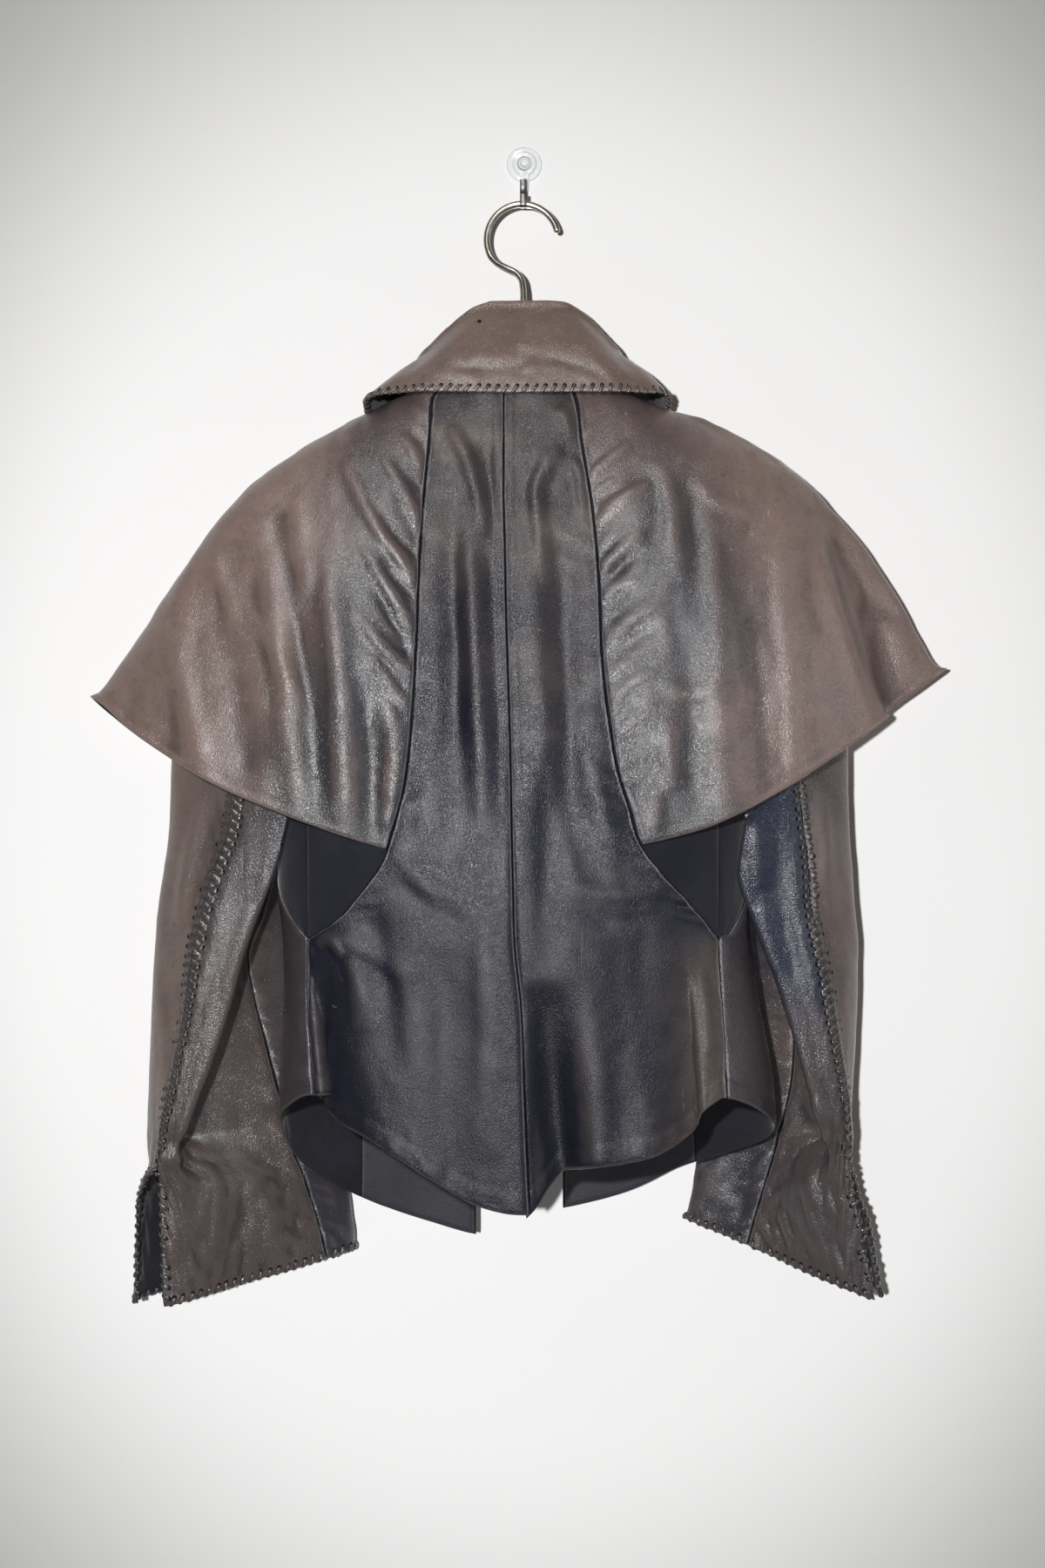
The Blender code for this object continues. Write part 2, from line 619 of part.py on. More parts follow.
def resting(grid, ground, clear):
    """The grid with its points raised, along the ground's normals, to lie clear of it."""
    normals = unit(np.cross(np.gradient(ground, axis=1), np.gradient(ground, axis=0))).reshape(-1, 3)
    spots = ground.reshape(-1, 3)
    inland = np.arange(len(spots)) >= ground.shape[1]
    points = grid.reshape(-1, 3).copy()
    for _ in range(3):
        nearest = ((points[:, None] - spots[None]) ** 2).sum(axis=2).argmin(axis=1)
        height = ((points - spots[nearest]) * normals[nearest]).sum(axis=1)
        lift = np.clip(clear - height, 0, HIGHEST_LIFT) * inland[nearest]
        points += lift[:, None] * normals[nearest]
    return points.reshape(grid.shape)


def shoulder_ground(side):
    """The upper body as a fine grid, with its normals outwards."""
    turn, share = np.meshgrid(np.linspace(0.2, 1.8, 61), np.linspace(0, 1, 45))
    neck = NECK.read("down", turn)
    grid = body(side, turn, neck + (GROUND_DOWN - neck) * share)
    return grid if side == "left" else grid[:, ::-1]


def cape(side, columns, rows):
    """The capelet's sheet at shares round its rays and down them, clear of the body."""
    shares, quarters, rays = cape_net(side)
    across = through(shares, rays, np.asarray(columns, float))
    sheet = through(quarters, np.swapaxes(across, 0, 1), np.asarray(rows, float))
    return resting(sheet, shoulder_ground(side), CAPE_CLEAR)


for side in SIGN:
    mirrored = side == "right"
    sheet = cape(side, CAPE_COLUMNS[side], CAPE_ROWS)
    add_sheet(f"cape_{side}", trimmed(sheet, CAPE_EDGE, CAPE_EDGE), cape_leather, flip=not mirrored)

# ---------------------------------------------------------------- collar

# Strips of the collar from the centre back to its front end: the turn of the body's neck
# edge where each starts, the fold at its top and the laced edge of its fall.
STRIP_COLUMNS = "turn x_fold y_fold z_fold x_fall y_fall z_fall x_edge y_edge z_edge"
COLLAR_STRIPS = {
    "left": Table(
        STRIP_COLUMNS,
        (0.0, -4, -52, -116, -8, -72, -148, -13, -87, -189),
        (0.35, -34, -52, -118, -40, -72, -150, -52, -87, -188),
        (0.8, -68, -48, -146, -78, -66, -165, -95, -79, -188),
        (1.1, -79, -42, -158, -97, -52, -172, -117, -62, -193),
        (1.3, -80, -28, -167, -98, -28, -184, -117, -28, -205),
        (1.55, -70, -17, -180, -86, -12, -202, -106, -10, -228),
        (1.74, -58, -14, -198, -74, -9, -221, -94, -7, -248),
        (1.88, -44, -13, -222, -58, -9, -243, -72, -7, -262),
    ),
    "right": Table(
        STRIP_COLUMNS,
        (0.0, 4, -52, -116, 2, -72, -148, -8, -87, -189),
        (0.35, 32, -52, -118, 40, -72, -150, 46, -87, -188),
        (0.8, 62, -48, -143, 72, -66, -163, 88, -79, -188),
        (1.1, 72, -42, -154, 89, -52, -168, 106, -62, -189),
        (1.3, 74, -28, -163, 90, -28, -180, 107, -28, -201),
        (1.55, 64, -17, -177, 80, -12, -200, 100, -10, -226),
        (1.74, 52, -14, -196, 68, -9, -219, 88, -7, -246),
        (1.88, 38, -13, -222, 52, -9, -243, 66, -7, -262),
    ),
}
COLLAR_STATIONS = (0, 0.35, 0.44, 0.56, 0.75, 1)
COLLAR_COLUMNS = (0, 0.2, 0.35, 0.5, 0.66, 0.8, 0.95, 1.1, 1.2, 1.3, 1.42, 1.55, 1.65, 1.74, 1.81, 1.88)
COLLAR_ROWS = (0, 0.18, 0.35, 0.42, 0.5, 0.58, 0.68, 0.84, 1)
FALL_FROM = 0.68
COLLAR_INSET = 1.3
COLLAR_CLEAR = 2 * WALL + 2.5
STAND_ABOVE, STAND_FORWARD = 1.0, 2.0
FOLD_INSIDE, FOLD_OUTSIDE, FOLD_BELOW = 2.0, 3.0, 5.0


def collar_net(side):
    """Stations across the collar: neck edge, inside and outside of the fold, fall, edge."""
    table = COLLAR_STRIPS[side].rows
    neck = body(side, table[:, 0], NECK.read("down", table[:, 0]), -COLLAR_INSET)
    at_front = np.clip((table[:, 0] - 1.2) / 0.3, 0, 1)
    neck[:, 0] -= SIGN[side] * STAND_FORWARD * at_front
    neck[:, 2] += STAND_ABOVE + STAND_FORWARD * at_front
    fold, fall, edge = table[:, 1:4], table[:, 4:7], table[:, 7:10]
    inwards = unit(fold - fall) * (1, 1, 0)
    inside = fold + inwards * FOLD_INSIDE - (0, 0, FOLD_BELOW)
    outside = fold - inwards * FOLD_OUTSIDE - (0, 0, FOLD_BELOW)
    return table[:, 0], np.stack([neck, inside, fold, outside, fall, edge], axis=1)


def collar_half(side, columns, rows):
    """Half the collar at turns of the neck edge and shares of the way to its laced edge."""
    turns, net = collar_net(side)
    strips = np.swapaxes(through(turns, net, np.asarray(columns, float)), 0, 1)
    return through(np.array(COLLAR_STATIONS), strips, np.asarray(rows, float))


left_half = collar_half("left", COLLAR_COLUMNS, COLLAR_ROWS)
right_half = collar_half("right", COLLAR_COLUMNS, COLLAR_ROWS)
middle_strip = (left_half[:, :1] + right_half[:, :1]) / 2
collar = np.concatenate([left_half[:, :0:-1], middle_strip, right_half[:, 1:]], axis=1)
fall = COLLAR_ROWS.index(FALL_FROM)
for side in SIGN:
    collar[fall:] = resting(collar[fall:], shoulder_ground(side), COLLAR_CLEAR)
add_sheet("collar", trimmed(collar), cape_leather, even=False)

# ---------------------------------------------------------------- hanger

WIRE_RADIUS = 2.5
HOOK_RADIUS = 26.9
HOOK_CENTRE = (-1.3, -25.0, -63.3)
HOOK_TIP_ANGLE = 16.0
HOOK_HEEL_ANGLE = 206.0
HOOK_SHANK = (
    (-13.1, -30, -85.4), (-6.4, -32, -89.6), (-2.6, -34, -94.2), (-1.0, -37, -102),
    (-0.6, -42, -116), (-0.6, -47, -136), (-0.6, -50, -171.6),
)
BAR_RADIUS = 6.0
BAR_CLEAR = 1.6
BAR_X = {"left": (-182, -162, -140, -115, -90), "right": (90, 115, 140, 160, 175)}
BAR_MIDDLE = (
    (-62, -48, -196), (-30, -49, -184), (0, -50, -178), (30, -49, -184), (62, -48, -196),
)


def hook_path():
    """The wire: an arc from its tip over the top to its heel, then the shank."""
    angles = np.radians(np.linspace(HOOK_TIP_ANGLE, HOOK_HEEL_ANGLE, 26))
    arc = np.stack([HOOK_CENTRE[0] + HOOK_RADIUS * np.cos(angles),
                    np.full_like(angles, HOOK_CENTRE[1]),
                    HOOK_CENTRE[2] + HOOK_RADIUS * np.sin(angles)], axis=1)
    route = np.vstack([arc[-1:], HOOK_SHANK])
    along = np.concatenate([[0], np.cumsum(np.linalg.norm(np.diff(route, axis=0), axis=1))])
    shank = through(along, route, np.linspace(0, along[-1], 22)[1:])
    return np.vstack([arc, shank])


def ridge_point(side, x):
    """The inside of the shoulder's ridge above x."""
    down = np.linspace(190, SHOULDER_DOWN, 200)
    ridge = OUTLINE.read(side, down)
    drop = np.interp(abs(x), np.abs(ridge), down)
    return np.array([x, OUTLINE.read("side", drop), -drop])


def bar_path():
    """The bar's middle line, just under the shoulder seams, with an arched middle."""
    left = [ridge_point("left", x) for x in BAR_X["left"]]
    right = [ridge_point("right", x) for x in BAR_X["right"]]
    line = np.array(left + right)
    slope = np.gradient(line[:, 2], line[:, 0])
    drop = (BAR_RADIUS + BAR_CLEAR) * np.sqrt(1 + slope ** 2)
    line[:, 2] -= drop
    count = len(left)
    return np.vstack([line[:count], BAR_MIDDLE, line[count:]])


add_tube("hanger_hook", hook_path(), WIRE_RADIUS, steel, resolution=2)
add_tube("hanger_bar", bar_path(), BAR_RADIUS, steel, resolution=3)

# ---------------------------------------------------------------- wall cup and its hook

CUP_PROFILE = Table(
    "height radius",
    (8.0, 0.0), (7.7, 2.2), (5.4, 3.6), (5.2, 4.8), (2.1, 4.8), (1.5, 9.6), (0.8, 13.3), (0.0, 13.3),
    (0.0, 0.0),
)
RING_OUTER = 9.0
RING_HOLE = 5.2
RING_BACK_Y = -2.5
RING_THICK = 2.2
TAB_HALF = 3.0
TAB_BOTTOM = -22.0
STRIP_HALF = 2.6
STRIP_WALL = 1.4
STRIP_Y = -6.4
STRIP_TOP = ((STRIP_Y, -13), (STRIP_Y, -18), (-8.0, -24), (-13.0, -30), (-19.5, -33.4))
STRIP_CLEAR = 0.4
LIP_TOP = -29.0


def add_cup():
    """The clear suction cup: a turned profile, its flat face on the wall."""
    profile = bpy.data.meshes.new("wall_cup")
    points = [(radius * MM, 0.0, height * MM) for height, radius in CUP_PROFILE.rows]
    profile.from_pydata(points, [(i, i + 1) for i in range(len(points) - 1)], [])
    profile.materials.append(plastic)
    cup = bpy.data.objects.new("wall_cup", profile)
    jacket.objects.link(cup)
    cup.rotation_euler = (math.pi / 2, 0, 0)
    turned = cup.modifiers.new("Turned", "SCREW")
    turned.steps = turned.render_steps = 32
    turned.use_merge_vertices = True
    turned.merge_threshold = 0.0001
    turned.use_normal_calculate = False
    return cup


def add_hook_ring():
    """The clear ring round the cup's boss, with the tab that carries the hook."""
    start = math.acos(TAB_HALF / RING_OUTER)
    angles = np.linspace(-start, math.pi + start, 28)
    outline = [(RING_OUTER * math.cos(a), RING_OUTER * math.sin(a)) for a in angles]
    outline += [(-TAB_HALF, TAB_BOTTOM), (TAB_HALF, TAB_BOTTOM)]
    turns = np.linspace(0, 2 * math.pi, 24, endpoint=False)
    hole = [(RING_HOLE * math.cos(a), RING_HOLE * math.sin(a)) for a in turns]
    curve = bpy.data.curves.new("hook_ring", "CURVE")
    curve.dimensions = "2D"
    curve.fill_mode = "BOTH"
    curve.extrude = RING_THICK / 2 * MM
    for loop in (outline, hole):
        spline = curve.splines.new("POLY")
        spline.points.add(len(loop) - 1)
        spline.use_cyclic_u = True
        for point, (x, z) in zip(spline.points, loop):
            point.co = (x * MM, z * MM, 0, 1)
    curve.materials.append(plastic)
    ring = bpy.data.objects.new("hook_ring", curve)
    jacket.objects.link(ring)
    ring.rotation_euler = (math.pi / 2, 0, 0)
    ring.location = (0, (RING_BACK_Y - RING_THICK / 2) * MM, 0)
    return ring


def strip_grid():
    """The metal hook's bent strip: from the tab, under the hanger's wire, up to its lip."""
    angles = np.radians(np.linspace(180, 360, 13))
    radius = WIRE_RADIUS + STRIP_CLEAR
    y_wire, z_wire = HOOK_CENTRE[1], HOOK_CENTRE[2] + HOOK_RADIUS
    bend = np.stack([y_wire - radius * np.cos(angles), z_wire + radius * np.sin(angles)], axis=1)
    lip = (bend[-1, 0], LIP_TOP)
    path = np.vstack([STRIP_TOP, bend, [(bend[-1] + lip) / 2, lip]])
    half = np.array((-STRIP_HALF, STRIP_HALF))
    y, x = np.meshgrid(path[:, 0], half, indexing="ij")
    z = np.meshgrid(path[:, 1], half, indexing="ij")[0]
    return np.stack([x + HOOK_CENTRE[0] / 2, y, z], axis=-1)


add_cup()
add_hook_ring()
add_sheet("wall_hook", strip_grid(), steel, flip=True, wall=STRIP_WALL)
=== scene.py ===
"""Worn leather jacket hanging back outwards on a wire-hooked hanger from a small wall cup.

Sizes are in millimetres and "down" is the drop below the origin, which is the middle of
the cup's flat face on the wall; add_mesh turns them into metres.  Every leather piece is
a grid of points on its piece's form, rows from top to bottom and columns round it, with
creases, puckers and pressed seams added as heights along the grid's normals.
"""
import json
import math

import bpy
import numpy as np
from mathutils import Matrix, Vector

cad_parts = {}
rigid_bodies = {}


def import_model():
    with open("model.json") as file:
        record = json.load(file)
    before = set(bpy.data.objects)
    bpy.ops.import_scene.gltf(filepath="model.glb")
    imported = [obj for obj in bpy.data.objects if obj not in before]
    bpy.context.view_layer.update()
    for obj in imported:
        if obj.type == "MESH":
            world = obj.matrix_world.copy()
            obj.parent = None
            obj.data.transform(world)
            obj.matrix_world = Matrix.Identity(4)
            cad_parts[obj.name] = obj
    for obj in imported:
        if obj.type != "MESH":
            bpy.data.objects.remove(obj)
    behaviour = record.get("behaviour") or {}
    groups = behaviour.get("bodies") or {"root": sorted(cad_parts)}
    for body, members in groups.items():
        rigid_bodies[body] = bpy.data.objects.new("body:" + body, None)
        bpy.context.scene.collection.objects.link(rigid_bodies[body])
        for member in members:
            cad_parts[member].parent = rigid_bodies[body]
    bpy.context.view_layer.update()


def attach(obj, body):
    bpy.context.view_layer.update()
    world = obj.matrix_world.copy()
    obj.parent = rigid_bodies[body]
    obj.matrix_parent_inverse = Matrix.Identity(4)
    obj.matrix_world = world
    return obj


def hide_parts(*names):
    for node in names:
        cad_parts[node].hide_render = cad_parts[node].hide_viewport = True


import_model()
bpy.context.scene.view_settings.view_transform = "Standard"

# ------------------------------------------------------------------ back panels
# Two back panels of glazed lambskin, joined down the centre back and to the underarm
# panels by the curved princess seams, with a flared peplum and a vent.  The seams are
# plain, pressed open and a little puckered; the hem is turned in and pressed.

WALL = 1.5
SEAM = 0.35
SIGN = {"left": -1.0, "right": 1.0}
ROUND = 0.83
SHOULDER_DOWN = 255.0
WAIST_DOWN = 584.0
FOLDS_GROWN_DOWN = 725.0
CENTRE_FRONT_X = {"left": -36.0, "right": 29.0}


class Table:
    """Rows of numbers under named columns, read along smooth curves through the rows."""

    def __init__(self, columns, *rows):
        self.columns = columns.split()
        self.rows = np.array(rows, float)

    def read(self, name, at):
        return through(self.rows[:, 0], self.rows[:, self.columns.index(name)], at)


def through(knots, values, at):
    """Cubic curve through values at rising knots, level where they turn, held at the ends."""
    at = np.clip(np.asarray(at, float), knots[0], knots[-1])
    slopes = np.gradient(values, knots, axis=0)
    steps = np.diff(values, axis=0)
    slopes[1:-1][steps[1:] * steps[:-1] <= 0] = 0.0
    cell = np.clip(np.searchsorted(knots, at, side="right") - 1, 0, len(knots) - 2)
    width = knots[cell + 1] - knots[cell]
    t = (at - knots[cell]) / width
    deeper = (1,) * (values.ndim - 1)
    t, width = t.reshape(t.shape + deeper), width.reshape(width.shape + deeper)
    near, far = values[cell], values[cell + 1]
    pull = (far - near) * (3 - 2 * t) * t * t
    ease = slopes[cell] * (1 - t) ** 2 * t - slopes[cell + 1] * (1 - t) * t * t
    return near + pull + ease * width


def unit(vectors):
    """The vectors divided by their lengths."""
    return vectors / np.maximum(np.linalg.norm(vectors, axis=-1, keepdims=True), 1e-9)


def smooth(values):
    """Eases a number from 0 to 1, held outside."""
    held = np.clip(values, 0, 1)
    return held * held * (3 - 2 * held)


def hump(away, width):
    """A bell: 1 where away is 0, and falling off over the width."""
    return np.exp(-((away / width) ** 2))


OUTLINE = Table(
    "down left right centre back side front",
    (176, -56, 42, -14, -66, -44, -24),
    (184, -74, 60, -15, -71, -46, -24),
    (199, -106, 100, -15, -76, -50, -25),
    (218, -139, 143, -15, -82, -54, -26),
    (235, -166, 174, -15, -87, -58, -27),
    (255, -194, 196, -15, -91, -61, -28),
    (300, -195, 193, -14, -99, -63, -29),
    (350, -190, 183, -13, -106, -64, -30),
    (445, -181, 169, -10, -118, -65, -31),
    (505, -180, 163, -9, -123, -66, -31),
    (550, -179, 162, -8, -127, -67, -32),
    (586, -175, 164, -7, -130, -68, -32),
    (633, -174, 170, -2, -134, -70, -32),
    (690, -177, 181, 0, -139, -72, -32),
    (740, -177, 185, 2, -143, -73, -31),
    (815, -178, 186, 6, -148, -74, -30),
)

NECK = Table(
    "turn down",
    (0.0, 176), (0.5, 178), (1.0, 184), (1.45, 192), (1.66, 204), (1.78, 222), (1.9, 242),
    (2.0, 250),
)

HEM = Table(
    "turn left right",
    (0.00, 775, 779), (0.05, 773, 751), (0.10, 768, 745), (0.20, 751, 740), (0.30, 735, 733),
    (0.38, 724, 720), (0.44, 717, 706), (0.49, 708, 699), (0.53, 699, 696), (0.62, 695, 700),
    (0.80, 705, 713), (1.00, 719, 724), (1.20, 746, 735), (1.47, 773, 749), (1.63, 788, 760),
    (1.78, 801, 778), (1.90, 811, 788), (2.00, 815, 795),
)

# A fold's line runs from x_top to x_hem; it grows from its top to the hem.  Depth is
# inwards, lean is sideways, and the two spreads are towards the centre and the side.
FOLDS = {
    "left": Table(
        "down_top x_top x_hem depth spread_in spread_side lean",
        (592, -150, -135, 17, 16, 4, -9),
        (560, -45, -38, 3, 22, 22, 0),
    ),
    "right": Table(
        "down_top x_top x_hem depth spread_in spread_side lean",
        (600, 12, 25, 15, 13, 17, 0),
        (590, 112, 120, 12, 20, 6, 5),
        (560, 70, 66, 5, 15, 15, 0),
    ),
}


def body(side, turn, down, lift=0.0):
    """Point of the body's form at a turn and a drop, moved out by lift along its ring."""
    centre = OUTLINE.read("centre", down)
    middle = OUTLINE.read("side", down)
    reach = (OUTLINE.read(side, down) - centre) * SIGN[side] + lift
    back, front = OUTLINE.read("back", down) - lift, OUTLINE.read("front", down) + lift
    depth = np.where(turn < 1, back, front)
    sine = np.clip(np.sin(turn * math.pi / 2), 0, 1) ** ROUND
    cosine = np.abs(np.cos(turn * math.pi / 2)) ** ROUND
    x = centre + SIGN[side] * reach * sine
    y = middle + (depth - middle) * cosine
    x, y = fold(side, turn, down, x, y)
    return np.stack(np.broadcast_arrays(x, y, -down), axis=-1)


def fold(side, turn, down, x, y):
    """The peplum's hanging folds: bell-shaped dents that lean, growing to the hem."""
    on_back = np.clip((1.0 - turn) / 0.2, 0, 1)
    sunk, moved = np.zeros_like(x), np.zeros_like(x)
    for top, x_top, x_hem, depth, spread_in, spread_side, lean in FOLDS[side].rows:
        grown = np.clip((down - top) / (FOLDS_GROWN_DOWN - top), 0, 1.25)
        away = (x - (x_top + (x_hem - x_top) * grown)) * SIGN[side]
        spread = np.where(away < 0, spread_in, spread_side)
        bell = hump(away, spread) * on_back * grown ** 0.7 * smooth(grown * 4)
        sunk = sunk + depth * bell
        moved = moved + lean * bell
    return x + moved, y + sunk


def turn_at(side, x, down, front=False):
    """Turn of the point of a level ring that lies at x, on the back or on the front."""
    centre = OUTLINE.read("centre", down)
    reach = np.abs(OUTLINE.read(side, down) - centre)
    share = np.clip(np.abs(x - centre) / reach, 0, 1) ** (1 / ROUND)
    turn = np.arcsin(share) * 2 / math.pi
    return 2 - turn if front else turn


# Row numbers run from the neck (0) by these shares to the shoulder (4), down level drops
# to the waist (14), and on evenly to the hem (19).
NECK_SHARES = (0.0, 0.2, 0.45, 0.7, 1.0)
LEVELS = (255, 275, 300, 350, 400, 445, 485, 519, 545, 566, 584)
UNDERARM_DOWN = 445.0


def drop_at(side, turn, row):
    """Drop of a row number at a turn: neck to shoulder, level rows, then waist to hem."""
    neck, hem = NECK.read("down", turn), HEM.read(side, turn)
    upper = neck + (SHOULDER_DOWN - neck) * np.interp(row, range(5), NECK_SHARES)
    level = np.interp(row, range(4, 15), LEVELS)
    lower = WAIST_DOWN + (hem - WAIST_DOWN) * np.clip(row - 14, 0, 5) / 5
    return np.where(row < 4, upper, np.where(row < 14, level, lower))


def stretch(side, inner, outer, columns, rows):
    """Grid of the form between two seams, each a function of the drop that gives a turn.

    A row's drop depends on the turn and the turn on the drop, so they are found by turns.
    """
    row, share = np.meshgrid(rows, columns, indexing="ij")
    turn = np.zeros_like(row)
    for _ in range(8):
        down = drop_at(side, turn, row)
        near, far = inner(down), outer(down)
        turn = near + (far - near) * share
    return body(side, turn, down)


BACK_PRINCESS = {
    "left": Table(
        "down x",
        (176, -55), (190, -66), (206, -67.6), (222, -68.6), (238, -69.8), (285, -73.6), (330, -75.6),
        (364, -76.5), (409, -78.5), (449, -81.6), (480, -86), (505, -92.6), (527, -99.6), (551, -116.3),
        (572, -136), (584, -155),
    ),
    "right": Table(
        "down x",
        (176, 32), (188, 36), (224, 41), (277, 49), (335, 53.5), (382, 55), (428, 60),
        (463, 65.8), (493, 75), (516, 82), (536, 97), (560, 119.4), (584, 139),
    ),
}

SIDE_SEAM = {
    "left": Table("down x", (445, -157), (584, -155), (617, -155), (660, -153), (696, -150.5), (720, -150)),
    "right": Table("down x", (445, 140), (584, 139), (617, 140.5), (660, 142.5), (696, 144), (720, 145)),
}

FRONT_PRINCESS = Table(
    "down turn",
    (176, 1.5), (198, 1.68), (255, 1.81), (330, 1.75), (400, 1.66), (445, 1.58), (485, 1.46),
    (519, 1.2), (545, 0.98), (566, 0.8), (584, 0.66),
)

ARMHOLE = Table(
    "down back front",
    (255, 1.0, 1.0), (275, 0.76, 1.24), (300, 0.63, 1.37), (350, 0.54, 1.44), (400, 0.55, 1.36),
    (425, 0.59, 1.12), (445, 0.63, 0.66),
)


def centre_back(down):
    """The centre back seam: turn 0 all the way down."""
    return np.zeros_like(down)


def centre_front(side):
    """The front's free edge, straight down at one x."""
    return lambda down: turn_at(side, CENTRE_FRONT_X[side], down, front=True)


def back_edge(side):
    """The back's outer seam: the princess line down to the waist, then the side seam."""
    def seam(down):
        above = BACK_PRINCESS[side].read("x", down)
        below = SIDE_SEAM[side].read("x", down)
        return turn_at(side, np.where(down < WAIST_DOWN, above, below), down)
    return seam


def front_edge(side):
    """The front's outer seam: the front princess line, then the side seam."""
    def seam(down):
        below = turn_at(side, SIDE_SEAM[side].read("x", down), down)
        return np.where(down < WAIST_DOWN, FRONT_PRINCESS.read("turn", down), below)
    return seam


def side_line(side, part):
    """Where the suede's two pieces meet: shoulder seam, armhole edge, then the side line."""
    def seam(down):
        hole = ARMHOLE.read(part, down)
        below = turn_at(side, SIDE_SEAM[side].read("x", down), down)
        return np.where(down <= SHOULDER_DOWN, 1.0, np.where(down < UNDERARM_DOWN, hole, below))
    return seam


def trimmed(grid, first=SEAM, last=SEAM, bottom=0.0):
    """The grid with its edges drawn in, so that neighbours stay a seam's width apart.

    The shift fades over the next few points, so that the edge's squares keep their shape.
    """
    grid = grid.copy()
    from_first = first * unit(grid[:, 4] - grid[:, 0])
    from_last = last * unit(grid[:, -5] - grid[:, -1])
    upwards = bottom * unit(grid[-5] - grid[-1])
    for step, share in enumerate((1.0, 0.75, 0.5, 0.25)):
        grid[:, step] += share * from_first
        grid[:, -1 - step] += share * from_last
        grid[-1 - step] += share * upwards
    return grid


def arcs(grid, axis):
    """Distance along the grid from its first row (axis 0) or first column (axis 1)."""
    steps = np.linalg.norm(np.diff(grid, axis=axis), axis=-1)
    return np.concatenate([np.zeros_like(np.take(steps, [0], axis)), np.cumsum(steps, axis)], axis)


def margins(grid):
    """Distances along the grid to its first and last column, then its first and last row."""
    across, along = arcs(grid, 1), arcs(grid, 0)
    return across, across[:, -1:] - across, along, along[-1:] - along


def outward(grid, sign):
    """Unit normals: the cross product of the grid's downward and onward steps, signed."""
    return sign * unit(np.cross(np.gradient(grid, axis=0), np.gradient(grid, axis=1)))


def mottle(x, y, seed):
    """Smooth noise from -1 to 1: a table of random numbers, eased between its whole places
    by 6 t^5 - 15 t^4 + 10 t^3 and turned, so that its rows don't follow the panel's."""
    table = np.random.default_rng(seed).uniform(-1, 1, (64, 64))
    x, y = x + 0.4 * y, y - 0.4 * x
    column, row = np.floor(x).astype(int), np.floor(y).astype(int)
    across, along = (t ** 3 * (6 * t * t - 15 * t + 10) for t in (x - column, y - row))
    corner = [table[(row + j) % 64, (column + i) % 64] for j in (0, 1) for i in (0, 1)]
    upper = corner[0] + (corner[1] - corner[0]) * across
    lower = corner[2] + (corner[3] - corner[2]) * across
    return upper + (lower - upper) * along


CREASE_COLUMNS = "height left right x1 down1 x2 down2 x3 down3"


def creases(grid, table):
    """Heights of listed creases: ridges, or troughs where the height is negative.

    Each follows a curve through three places, seen from behind.  Across it the height
    falls off as a bell with its own width on each side, and along it as a half wave.
    """
    x, down = grid[..., 0], -grid[..., 2]
    height = np.zeros(x.shape)
    for peak, left, right, *places in table.rows:
        marks = np.array(places).reshape(3, 2)
        line = through(np.arange(3.0), marks, np.linspace(0, 2, 13))
        reach = 3 * max(left, right)
        low, high = line.min(axis=0) - reach, line.max(axis=0) + reach
        near = (x > low[0]) & (x < high[0]) & (down > low[1]) & (down < high[1])
        spot = np.stack([x[near], down[near]], axis=-1)[:, None]
        start, step = line[:-1], np.diff(line, axis=0)
        share = np.clip(((spot - start) * step).sum(-1) / (step ** 2).sum(-1), 0, 1)
        offset = spot - start - share[..., None] * step
        distance = np.linalg.norm(offset, axis=-1)
        best = distance.argmin(axis=1)
        pick = np.arange(len(best)), best
        turned = step[best, 0] * offset[pick][:, 1] - step[best, 1] * offset[pick][:, 0]
        width = np.where(turned < 0, right, left)
        along = (best + share[pick]) / len(step)
        wave = np.sin(np.pi * np.clip(along, 0, 1)) ** 0.7
        height[near] += peak * wave * hump(distance[pick], width)
    return height


def puckers(along, away, pitch, depth, reach, seed, slant=0.0):
    """Heights of the small gathers beside a seam: an uneven wave along it that dies away."""
    place = (along + slant * away) / pitch
    wave = mottle(place * 1.3, away / (reach * 2.5) + seed, seed)
    return depth * wave * smooth(away / 5 + 0.2) * np.exp(-((away / reach) ** 1.3))


def pressed(away, depth=0.6, width=1.5):
    """Heights of a pressed seam: a valley at the seam and a faint ridge beside it."""
    return -depth * hump(away, width) + 0.25 * hump(away - 3.6 * width, width)


def add_mesh(name, points, faces, material, attributes=None, cut=None):
    """A smooth mesh object at the origin from points in millimetres, riding on the root."""
    mesh = bpy.data.meshes.new(name)
    mesh.from_pydata(points * 0.001, [], list(faces))
    for title, values in (attributes or {}).items():
        layer = mesh.attributes.new(title, "FLOAT", "POINT")
        layer.data.foreach_set("value", values.astype(np.float32))
    if cut is not None:
        corners = np.empty(len(mesh.loops), np.int32)
        mesh.loops.foreach_get("vertex_index", corners)
        layer = mesh.uv_layers.new(name="Cut")
        layer.data.foreach_set("uv", (cut[corners] * 0.001).astype(np.float32).ravel())
    mesh.materials.append(material)
    mesh.shade_smooth()
    piece = bpy.data.objects.new(name, mesh)
    bpy.context.scene.collection.objects.link(piece)
    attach(piece, "root")
    return piece


def grid_faces(rows, columns, flip, start=0):
    """Quads of a grid of points, whose numbers run along its rows."""
    index = start + np.arange(rows * columns).reshape(rows, columns)
    corners = [index[:-1, :-1], index[1:, :-1], index[1:, 1:], index[:-1, 1:]]
    if flip:
        corners.reverse()
    return np.stack(corners, axis=-1).reshape(-1, 4)


